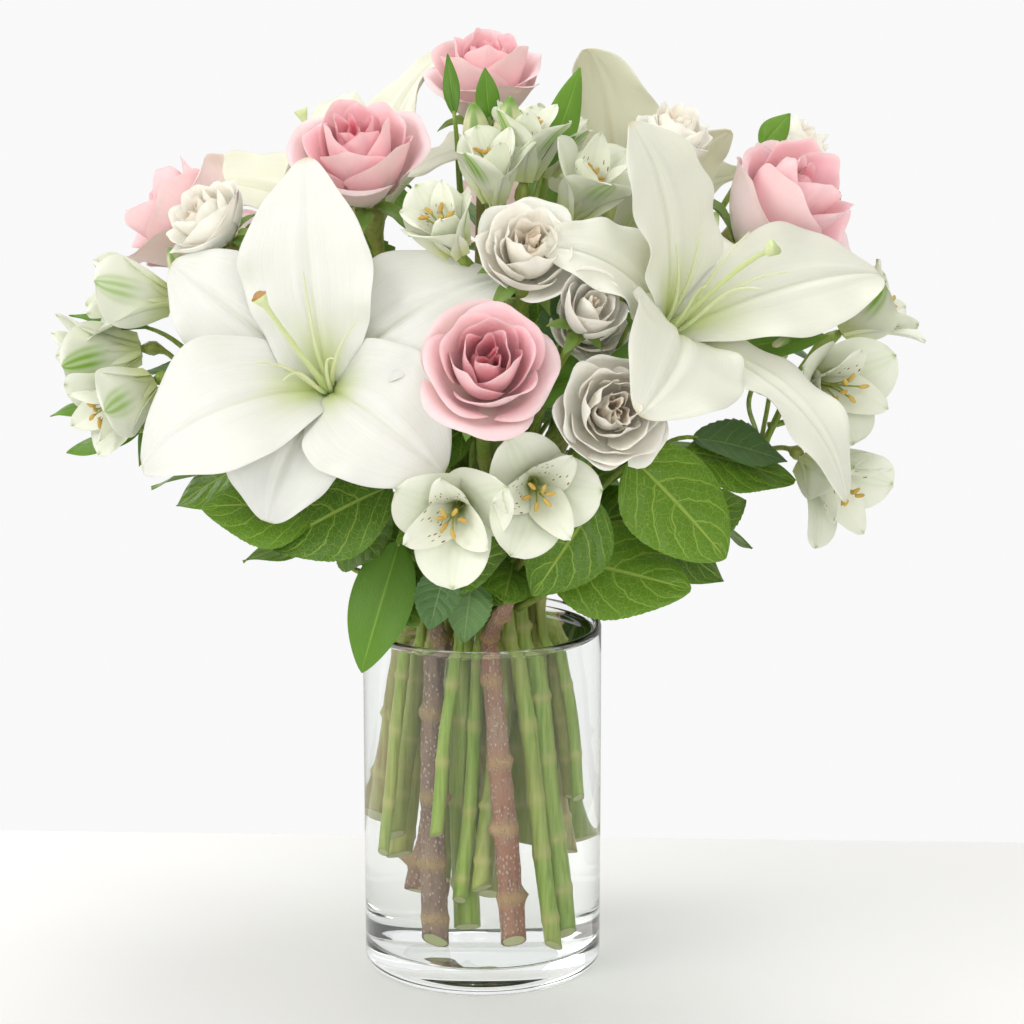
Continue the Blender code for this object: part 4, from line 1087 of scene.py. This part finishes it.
def build_lily(name, row, finishes):
    bearing, lean, reach, facing, lift, roll, size = row
    base = on_dome(bearing, lean, reach)
    axis = direction(facing, lift)
    place = flower_frame(base, axis, roll)
    broad, narrow = TEPALS[name]
    cream = {"lily_1": 0.0, "lily_2": 0.55, "lily_3": 0.9, "lily_4": 0.95}[name]
    build_lily_whorl(name + "_outer_tepals", place, narrow, size, 0.0052, 0.0, 0.10, finishes["lily"], cream)
    build_lily_whorl(name + "_inner_tepals", place, broad, size, 0.0034, 0.0018, 0.16, finishes["lily"], cream)
    centre = [finishes["pistil"], finishes["pistil" if name == "lily_2" else "stigma"]]
    build_lily_centre(name + "_pistil_and_stamens", place, size, PISTIL_ENDS[name], centre, 1.0)
    return base, axis


# ---------------------------------------------------------------- roses


def rose_petal(place, turn, span, ring, height, lip, inward, ruffle, phase):
    """One petal of a rose: a cup that rises from the base and rolls back at its rim."""

    def shape(side, rise):
        edge = abs(side)
        tall = rise * (1.0 - 0.34 * edge**2.4)
        full = 1.0 - (1.0 - min(1.0, tall * 1.25)) ** 2.0
        out = ring * full * (1.0 - inward * tall**2)
        up = height * tall + 0.05 * rise**6 * hump(side, 0.0, 0.20)
        fold = max(0.0, (tall - 0.52) / 0.48)
        roll = lip * (0.50 + 0.75 * edge**1.5)
        out += roll * fold**2 * 0.55
        up -= roll * fold**3 * 0.60
        wave = ruffle * rise**4 * math.sin(4.4 * side + phase)
        wave += ruffle * 0.6 * rise**5 * math.sin(9.7 * side + phase * 2.1)
        out += wave
        up += wave * 0.7
        angle = turn + side * span / 2 * (0.45 + 0.55 * min(1.0, tall * 1.5) ** 0.6)
        return place @ Vector((out * math.cos(angle), out * math.sin(angle), up))

    return shape


# How each kind of head is made: petals, ring of the core and of the outside, rim heights of
# the core, of the middle and of the outside, roll of the outer lips, ruffle
ROSE_HEAD = dict(
    count=18, core=0.07, outside=0.86, rims=(1.30, 1.62, 1.22), lip=0.60, ruffle=0.022, wrap=134,
    crinkle=0.16, scale=1.03, spread=0.8,
)
SPRAY_HEAD = dict(
    count=20, core=0.08, outside=0.94, rims=(1.18, 1.34, 0.98), lip=0.36, ruffle=0.046, wrap=124,
    crinkle=0.12, scale=1.06, spread=0.85,
)
BUD_HEAD = dict(
    count=13, core=0.05, outside=0.84, rims=(1.70, 1.90, 1.75), lip=0.20, ruffle=0.024, wrap=140,
    crinkle=0.05, scale=1.12, spread=0.9,
)


def build_rose_head(name, row, radius, kind, finishes):
    """Petals set round in a spiral, each a little further out than the last, and five sepals."""
    bearing, lean, reach, facing, lift, roll, size = row
    rng = random.Random(name)
    base = on_dome(bearing, lean, reach)
    axis = direction(facing, lift)
    full = radius * size * kind["scale"]
    place = flower_frame(base + axis * 2 * GAP, axis, roll) @ Matrix.Diagonal((full, full, full, 1.0))
    bm = new_mesh()
    count = kind["count"]
    turn = rng.uniform(0, 6)
    for index in range(count):
        out = index / (count - 1)
        turn += math.radians(137.5) + rng.uniform(-0.12, 0.12)
        ring = blend(kind["core"], kind["outside"], out ** kind["spread"])
        span = math.radians(blend(240, kind["wrap"], smooth(out * 1.8)))
        core, middle, outer = kind["rims"]
        height = blend(core, middle, smooth(out * 2.2))
        height = blend(height, outer, smooth((out - 0.45) / 0.55))
        height *= rng.uniform(0.93, 1.07)
        ring *= rng.uniform(0.95, 1.05)
        lip = kind["lip"] * smooth((out - 0.22) / 0.70) * rng.uniform(0.6, 1.4)
        inward = 0.30 * (1.0 - smooth(out * 1.1))
        ruffle = kind["ruffle"] * rng.uniform(0.6, 1.4) + kind["crinkle"] * max(0.0, 0.45 - out)
        shape = rose_petal(place, turn, span, ring, height, lip, inward, ruffle, rng.uniform(0, 6))
        sheet(bm, 20, 16, shape, PETAL_THICKNESS, 1.0 - out, rng.random(), 0, True)
    for index in range(5):
        sepal_turn = 72 * index + rng.uniform(-12, 12)
        path = tepal_path(rng.uniform(0.75, 0.95), 60, rng.uniform(120, 175), 0.10, 1.0, 24)
        look = {"cup": 0.35, "floor": 0.0, "full": 0.9, "groove": 0.0, "ripples": 9.0, "phase": rng.uniform(0, 6),
                "wave": 0.02, "bend": rng.uniform(-0.1, 0.1), "twist": 0.2}
        sheet(bm, 6, 24, tepal_shape(place, sepal_turn, path, 0.15, look), PETAL_THICKNESS, 0.0, rng.random(), 1)
    add_piece(name + "_fine", bm, finishes, [name])
    return base, axis


# ---------------------------------------------------------------- alstroemeria


def floret_tepal(place, turn, path, half_width, broad, phase):
    """A tepal of an alstroemeria: broad and notched outside, narrow and spoon-shaped inside."""
    heading = Vector((math.cos(turn), math.sin(turn), 0.0))
    across = Vector((-heading.y, heading.x, 0.0))
    steps = len(path) - 1

    def shape(side, rise):
        out, up, angle = path[round(rise * steps)]
        swell = math.sin(math.pi * (0.07 + 0.93 * rise ** (1.35 if broad else 1.0))) ** 0.52
        half = half_width * max(swell, 0.03)
        inward = UP * math.sin(angle) - heading * math.cos(angle)
        edge = abs(side)
        point = heading * out + UP * up + across * half * side
        point += inward * half * (0.40 if broad else 0.55) * edge**2 * (1.2 - rise)
        point += inward * 0.0009 * math.sin(rise * 11 + phase + side * 2) * edge**2 * rise
        point -= inward * 0.0005 * hump(side, 0.0, 0.12) * rise
        return place @ point

    return shape


def build_floret(bm, row, hub, rng, openness):
    """One floret with its ovary, its six stamens and its stalk back to the umbel."""
    bearing, lean, reach, facing, lift, roll, size = row
    base = on_dome(bearing, lean, reach)
    axis = direction(facing, lift)
    place = flower_frame(base, axis, roll)
    turn_of = place.to_3x3()
    length = FLORET_TEPAL * size
    for index in range(6):
        broad = index % 2 == 0
        turn = math.radians(30 + 60 * index) + rng.uniform(-0.08, 0.08)
        opening, tip, half_share = (24, 62, 0.42) if broad else (12, 54, 0.22)
        tip -= 26.0 * (1.0 - openness)
        opening -= 8.0 * (1.0 - openness)
        path = tepal_path(length * rng.uniform(0.97, 1.06), opening + rng.uniform(-5, 5), tip + rng.uniform(-9, 9), 0.002, 1.1, 24)
        shape = floret_tepal(place, turn, path, length * half_share, broad, rng.uniform(0, 6))
        dashed = 0.0 if broad else (1.0 if index != 5 else 0.7)
        sheet(bm, 10, 24, shape, PETAL_THICKNESS, dashed, rng.random(), 0, True)
    lean_of = rng.uniform(0, 6)
    for index in range(6):
        turn = lean_of + index * 1.05
        out = Vector((math.cos(turn), math.sin(turn), 0.0))
        far = (out * rng.uniform(0.003, 0.007) + UP * length * rng.uniform(0.62, 0.86) / size) * size
        start, end = place @ (out * 0.001), place @ far
        line = curve_points(start, axis, end, (turn_of @ (out * 0.6 + UP)).normalized(), 10)
        tube(bm, line, lambda share, _: 0.00042, 6, 0.0, 0.4, 1)
        ball(bm, end, 0.0009, turn_of @ (out + UP * 0.4) * 0.0014, rng.random(), 2)
    away = (hub - base).normalized()
    stalk = curve_points(base + axis * 0.001, -axis, hub, away, 16)

    def stalk_radius(share, turn):
        ribs = 1.0 + 0.10 * math.cos(6 * turn) * hump(share, 0.10, 0.10)
        return (0.0011 + 0.0019 * hump(share, 0.10, 0.09) + 0.0004 * hump(share, 1.0, 0.1)) * ribs

    tube(bm, stalk, stalk_radius, 12, 0.0, rng.random() * 0.3, 1)


def build_floret_bud(bm, row, hub, rng):
    """A closed bud, white between green ribs, on its own stalk."""
    bearing, lean, reach, facing, lift, length = row
    base = on_dome(bearing, lean, reach)
    axis = direction(facing, lift)
    line = [base + axis * length * index / 20 for index in range(21)]

    def bud_radius(share, turn):
        swell = math.sin(math.pi * min(0.985, 0.12 + 0.86 * share ** 0.9)) ** 0.7
        return length * 0.24 * swell * (1.0 + 0.07 * math.cos(3 * turn))

    tube(bm, line, bud_radius, 18, 0.0, 1.0, 3)
    away = (hub - base).normalized()
    stalk = curve_points(base + axis * 0.001, -axis, hub, away, 14)
    tube(bm, stalk, lambda share, _: 0.0010 + 0.0010 * hump(share, 0.03, 0.06), 10, 0.0, 0.1, 1)


def bud_finish():
    """Green ribs at the base and tip of a bud, and cream between them."""
    made, tree, shader = new_finish("alstroemeria bud", 0.4, Subsurface_Weight=0.15, Subsurface_Scale=0.002)
    place = add_node(tree, "ShaderNodeTexCoord")
    part = add_node(tree, "ShaderNodeSeparateXYZ", {0: place.outputs["UV"]})
    ribs = maths(tree, "SINE", maths(tree, "MULTIPLY", part.outputs[0], 6 * math.pi))
    green = maths(tree, "MAXIMUM", band(tree, part.outputs[1], 0.35, 0.05), band(tree, part.outputs[1], 0.7, 0.98))
    green = maths(tree, "MAXIMUM", green, maths(tree, "MULTIPLY", band(tree, ribs, 0.0, 0.9), 0.8))
    spots = noise_of(tree, place.outputs["Object"], 300.0, 3.0)
    colour = mixed(tree, spots, (0.62, 0.68, 0.34), (0.72, 0.75, 0.50))
    colour = mixed(tree, green, colour, (0.16, 0.32, 0.04))
    tree.links.new(colour, shader.inputs["Base Color"])
    add_bump(tree, shader, ribs, 0.3, 0.0005)
    return made


def build_umbel(name, rows, finishes):
    """The florets and buds of one stem, whose stalks meet at the top of the stem."""
    rng = random.Random(name)
    middle = sum((on_dome(*row[:3]) for row in rows), Vector()) / len(rows)
    out = (middle - Vector((0.0, 0.0, 0.10))).normalized()
    hub = middle - out * 0.035
    bm = new_mesh()
    openness = {"alstroemeria_1": 0.9, "alstroemeria_4": 0.75}.get(name, 0.2)
    for row in rows:
        build_floret(bm, row, hub, rng, openness)
    for row in BUDS.get(name, ()):
        build_floret_bud(bm, row, hub, rng)
    add_piece(name + "_florets_fine", bm, finishes, [name + "_florets"])
    return hub - out * 0.004, out


# ---------------------------------------------------------------- leaves


LEAF_KINDS = {
    "salal": dict(teeth=26, tooth=0.030, fold=0.10, curl=0.16, wave=0.0012),
    "lily": dict(teeth=0, tooth=0.0, fold=0.16, curl=0.10, wave=0.0008),
    "rose": dict(teeth=13, tooth=0.075, fold=0.22, curl=0.06, wave=0.0010),
    "alstroemeria": dict(teeth=0, tooth=0.0, fold=0.10, curl=0.20, wave=0.0006),
}


def leaf_blade(bm, row, kind, rng, finish=0):
    """A blade that droops along its length, folded along its midrib and toothed at its edge."""
    bearing, lean, reach, run, run_lift, face, face_lift, length, half_width, droop, point = row
    look = LEAF_KINDS[kind]
    steps = 64 if look["teeth"] else 32
    base = on_dome(bearing, lean, reach)
    way = direction(run, run_lift)
    facing = direction(face, face_lift)
    hinge = way.cross(facing).normalized()
    here = base
    path = []
    for index in range(steps + 1):
        share = index / steps
        heading = Matrix.Rotation(-math.radians(droop) * share, 3, hinge) @ way
        across = heading.cross(facing).normalized()
        path.append((here.copy(), across, across.cross(heading)))
        here = here + heading * (length / steps)
    phase = rng.uniform(0, 6)

    def shape(side, rise):
        middle, across, top = path[round(rise * steps)]
        edge = abs(side)
        swell = math.sin(math.pi * min(0.999, rise**0.8)) ** point
        tooth = (rise * look["teeth"]) % 1.0
        half = half_width * max(swell, 0.03) * (1.0 - look["tooth"] * tooth * edge**6)
        bend = look["fold"] * edge - look["curl"] * edge**2
        lift = half * bend + look["wave"] * math.sin(rise * 9 + phase + side) * edge
        lift -= 0.0006 * hump(side, 0.0, 0.09) * (1.0 - rise)
        return middle + across * half * side + top * lift

    sheet(bm, 16, steps, shape, LEAF_THICKNESS, 0.0, rng.random(), finish)
    return base, way, hinge


def build_salal(name, rows, end, way, finishes):
    """A twig with broad leaves on short stalks."""
    rng = random.Random(name)
    bm = new_mesh()
    twig = [end + way * (0.034 * index / 12) for index in range(13)]
    tube(bm, twig, lambda share, _: blend(0.0026, 0.0016, share), 10, 0.0, 0.3, 1)
    for index, row in enumerate(rows):
        base, run, hinge = leaf_blade(bm, row, "salal", rng)
        joint = end + way * 0.032 * (1.6 * index + 1.2) / 8
        stalk = curve_points(joint, (way + run).normalized(), base + run * 0.002, run, 12)
        tube(bm, stalk, lambda share, _: blend(0.0012, 0.0008, share), 8, 0.0, 0.2, 1, hint=hinge)
    add_piece(name + "_fine", bm, finishes, [name])


def build_fill_leaves(name, rows, finishes):
    """Leaves lower down the flower stems, seen in the gaps between the flowers."""
    rng = random.Random(name)
    bm = new_mesh()
    kind = name.split("_")[0]
    for row in rows:
        base, run, hinge = leaf_blade(bm, row, kind, rng)
        inner = base - run * 0.012 - (base - DOME_MIDDLE).normalized() * 0.020
        stalk = curve_points(inner, (base - inner).normalized(), base + run * 0.002, run, 8)
        tube(bm, stalk, lambda share, _: blend(0.0014, 0.0008, share), 8, 0.0, 0.1, 1, hint=hinge)
    add_piece(name, bm, finishes)


def build_inner_leaves(name, count, finishes):
    """Leaves set all round inside the bouquet, which close the gaps between the flowers."""
    rng = random.Random(name)
    bm = new_mesh()
    for index in range(count):
        bearing = -180 + 360 * (index * 0.618 % 1.0)
        lean = blend(6, 52, (index + 0.5) / count)
        reach = rng.uniform(0.60, 0.80) - 0.27 * smooth((lean - 18) / 14)
        run, run_lift = bearing + rng.uniform(-80, 80), rng.uniform(-10, 65) - lean * 0.5
        row = (bearing, lean, reach, run, run_lift, bearing, 60 - lean * 0.4, rng.uniform(0.032, 0.046),
               rng.uniform(0.011, 0.017), 20, 0.75)
        base, way, hinge = leaf_blade(bm, row, rng.choice(("salal", "rose")), rng)
        inner = on_dome(bearing, lean * 0.7, reach * 0.45)
        stalk = curve_points(inner, (base - inner).normalized(), base + way * 0.002, way, 10)
        tube(bm, stalk, lambda share, _: blend(0.0018, 0.0009, share), 8, 0.0, 0.1, 1, hint=hinge)
    add_piece(name, bm, finishes)


# ---------------------------------------------------------------- stage


def build_stage(finish):
    """A pale table top whose far edge lies a little behind the vase."""
    bm = bmesh.new()
    turn = Matrix.Rotation(math.radians(-2.2), 4, "Z")
    size = Matrix.Diagonal((6.0, 3.2, 0.04, 1.0))
    place = turn @ Matrix.Translation((0.0, -1.425, -0.02)) @ size
    bmesh.ops.create_cube(bm, size=1.0, matrix=place)
    mesh = bpy.data.meshes.new("table_top")
    bm.to_mesh(mesh)
    bm.free()
    mesh.materials.append(finish)
    table = bpy.data.objects.new("table_top", mesh)
    bpy.context.scene.collection.objects.link(table)


def add_area_light(name, place, target, size, power, colour):
    light = bpy.data.lights.new(name, "AREA")
    light.shape = "DISK"
    light.size = size
    light.energy = power
    light.color = colour
    lamp = bpy.data.objects.new(name, light)
    lamp.location = place
    lamp.rotation_euler = (Vector(target) - Vector(place)).to_track_quat("-Z", "Y").to_euler()
    bpy.context.scene.collection.objects.link(lamp)


def build_light():
    world = bpy.data.worlds.new("studio")
    world.use_nodes = True
    bpy.context.scene.world = world
    tree = world.node_tree
    back = tree.nodes["Background"]
    place = add_node(tree, "ShaderNodeTexCoord")
    part = add_node(tree, "ShaderNodeSeparateXYZ", {0: place.outputs["Generated"]})
    lit = mixed(tree, band(tree, part.outputs[2], -0.5, 0.7), (0.50, 0.49, 0.47), (0.78, 0.77, 0.74))
    sideways = band(tree, part.outputs[0], -0.2, 1.0)
    lit = mixed(tree, maths(tree, "MULTIPLY", sideways, 0.35), lit, (0.50, 0.49, 0.47))
    seen = mixed(tree, band(tree, part.outputs[2], -0.05, 0.12), (0.95, 0.95, 0.95), (0.90, 0.905, 0.91))
    path = add_node(tree, "ShaderNodeLightPath")
    straight = maths(tree, "MAXIMUM", path.outputs["Is Camera Ray"], path.outputs["Is Transmission Ray"])
    tree.links.new(mixed(tree, straight, lit, seen), back.inputs["Color"])
    middle = (0.0, 0.0, 0.22)
    add_area_light("key", (-1.35, -0.95, 1.25), middle, 1.1, 14.0, (1.0, 0.98, 0.95))
    add_area_light("front", (0.45, -1.9, 0.95), middle, 1.2, 10.5, (1.0, 0.99, 0.98))
    add_area_light("top", (0.25, 0.55, 1.7), middle, 1.0, 9.0, (1.0, 1.0, 1.0))
    add_area_light("back", (-0.9, 1.3, 0.7), middle, 0.8, 4.0, (1.0, 1.0, 1.0))
    bpy.context.scene.view_settings.view_transform = "Standard"


def build_camera():
    """From in front of the vase, a little to its right, looking down at the bouquet."""
    lens = bpy.data.cameras.new("camera")
    lens.lens = 138.1
    lens.sensor_width = 36.0
    camera = bpy.data.objects.new("camera", lens)
    camera.location = (0.0127, -1.62, 0.577)
    camera.rotation_euler = (math.radians(90.0 - 13.1), 0.0, 0.0)
    bpy.context.scene.collection.objects.link(camera)
    bpy.context.scene.camera = camera


# ---------------------------------------------------------------- the bouquet


FIBRES = petal_fibre_group()
VEINS = leaf_vein_group()
FINISHES = {
    "glass": glass_finish(),
    "water": water_finish(),
    "wet glass": wet_glass_finish(),
    "still water": still_water_finish(),
    "lily": lily_finish(FIBRES),
    "pistil": plain_finish("green pistil", (0.55, 0.66, 0.26), (0.80, 0.84, 0.62), 0.35, 60.0, 0.2, 0.2),
    "stigma": plain_finish("orange stigma", (0.42, 0.20, 0.05), (0.62, 0.40, 0.12), 0.6, 500.0, 0.6, 0.1),
    "pink": rose_finish(
        "pink rose petal", FIBRES, (0.90, 0.22, 0.30), (0.97, 0.52, 0.58), (0.97, 0.70, 0.72), (0.97, 0.82, 0.70), 0.5
    ),
    "cream": rose_finish(
        "cream spray rose petal", FIBRES, (0.97, 0.81, 0.62), (0.97, 0.93, 0.82), (0.97, 0.95, 0.88), (0.96, 0.90, 0.72), 0.5
    ),
    "floret": floret_finish(FIBRES),
    "anther": plain_finish("ochre anther", (0.42, 0.22, 0.03), (0.66, 0.48, 0.10), 0.7, 900.0, 0.6, 0.0),
    "bud": bud_finish(),
    "stem": stem_finish(),
    "bark": bark_finish(),
    "cut": plain_finish("cut end of a stem", (0.45, 0.50, 0.20), (0.66, 0.66, 0.36), 0.6, 700.0, 0.4),
    "sepal": plain_finish("green sepal", (0.10, 0.22, 0.03), (0.24, 0.38, 0.08), 0.5, 260.0, 0.4),
    "salal": leaf_finish(
        "salal leaf", VEINS, (0.030, 0.105, 0.004), (0.110, 0.245, 0.010), (0.36, 0.50, 0.08),
        {"Pairs": 5.0, "Slope": 2.0, "Net": 13.0, "Net strength": 0.6, "Width": 0.06}, 0.4, 0.5,
    ),
    "long leaf": leaf_finish(
        "long leaf", VEINS, (0.060, 0.170, 0.012), (0.150, 0.310, 0.025), (0.24, 0.42, 0.06),
        {"Pairs": 0.0, "Slope": 14.0, "Net": 6.0, "Net strength": 0.0, "Width": 0.05}, 0.42, 0.25,
    ),
    "rose leaf": leaf_finish(
        "rose leaf", VEINS, (0.045, 0.120, 0.035), (0.110, 0.210, 0.065), (0.22, 0.34, 0.12),
        {"Pairs": 7.0, "Slope": 1.6, "Net": 18.0, "Net strength": 0.3, "Width": 0.05}, 0.5, 0.4,
    ),
}

build_camera()
build_stage(table_finish())
build_light()
build_vase(FINISHES["glass"], FINISHES["wet glass"])
build_water(FINISHES["water"], FINISHES["still water"])

GREEN = [FINISHES["stem"], FINISHES["cut"]]
BARK = [FINISHES["bark"], FINISHES["cut"]]

for number, (flower, numbers) in enumerate(LILIES.items(), 1):
    foot, axis_of = build_lily(flower, numbers, FINISHES)
    build_stem(f"lily_stem_{number}", foot - axis_of * 0.001, axis_of, "green", GREEN, "green_stem", (), 1.3)

for number, (flower, numbers) in enumerate(ROSES.items(), 1):
    petals = [FINISHES["pink"], FINISHES["sepal"]]
    foot, axis_of = build_rose_head(flower, numbers, ROSE_RADIUS, ROSE_HEAD, petals)
    build_stem(f"rose_stem_{number}", foot, axis_of, "green", GREEN, "green_stem", (), 1.9)

SPRAY_ENDS = []
for flower, numbers in SPRAY_ROSES.items():
    kind_of = BUD_HEAD if flower == "spray_rose_2" else SPRAY_HEAD
    petals = [FINISHES["cream"], FINISHES["sepal"]]
    SPRAY_ENDS.append(build_rose_head(flower, numbers, SPRAY_ROSE_RADIUS, kind_of, petals))
for number, heads in enumerate((SPRAY_ENDS[:4], SPRAY_ENDS[4:5], SPRAY_ENDS[:4:-1]), 1):
    forks = [(0.62 + 0.06 * index, *head) for index, head in enumerate(heads[1:])]
    build_stem(f"spray_rose_stem_{number}", *heads[0], "green", GREEN, "green_stem", forks, 1.5)

for number, (umbel, numbers) in enumerate(FLORETS.items(), 1):
    parts = [FINISHES["floret"], FINISHES["stem"], FINISHES["anther"], FINISHES["bud"]]
    foot, axis_of = build_umbel(umbel, numbers, parts)
    build_stem(f"alstroemeria_stem_{number}", foot, axis_of, "green", GREEN, "green_stem")

for number, (woody, numbers) in enumerate(WOODY_ENDS.items(), 1):
    foot = on_dome(*numbers)
    axis_of = (foot - Vector((0.0, 0.0, 0.12))).normalized()
    build_stem(woody, foot, axis_of, "bark", BARK, "brown_bark")
    twigs = [FINISHES["salal"], FINISHES["stem"]]
    build_salal(f"salal_leaves_{number}", LEAVES[f"salal_leaves_{number}"], foot, axis_of, twigs)

for group_name, numbers in FILL_LEAVES.items():
    look_of = FINISHES["rose leaf" if group_name == "rose_leaves" else "long leaf"]
    build_fill_leaves(group_name, numbers, [look_of, FINISHES["stem"]])

build_inner_leaves("inner_leaves", 96, [FINISHES["salal"], FINISHES["stem"]])
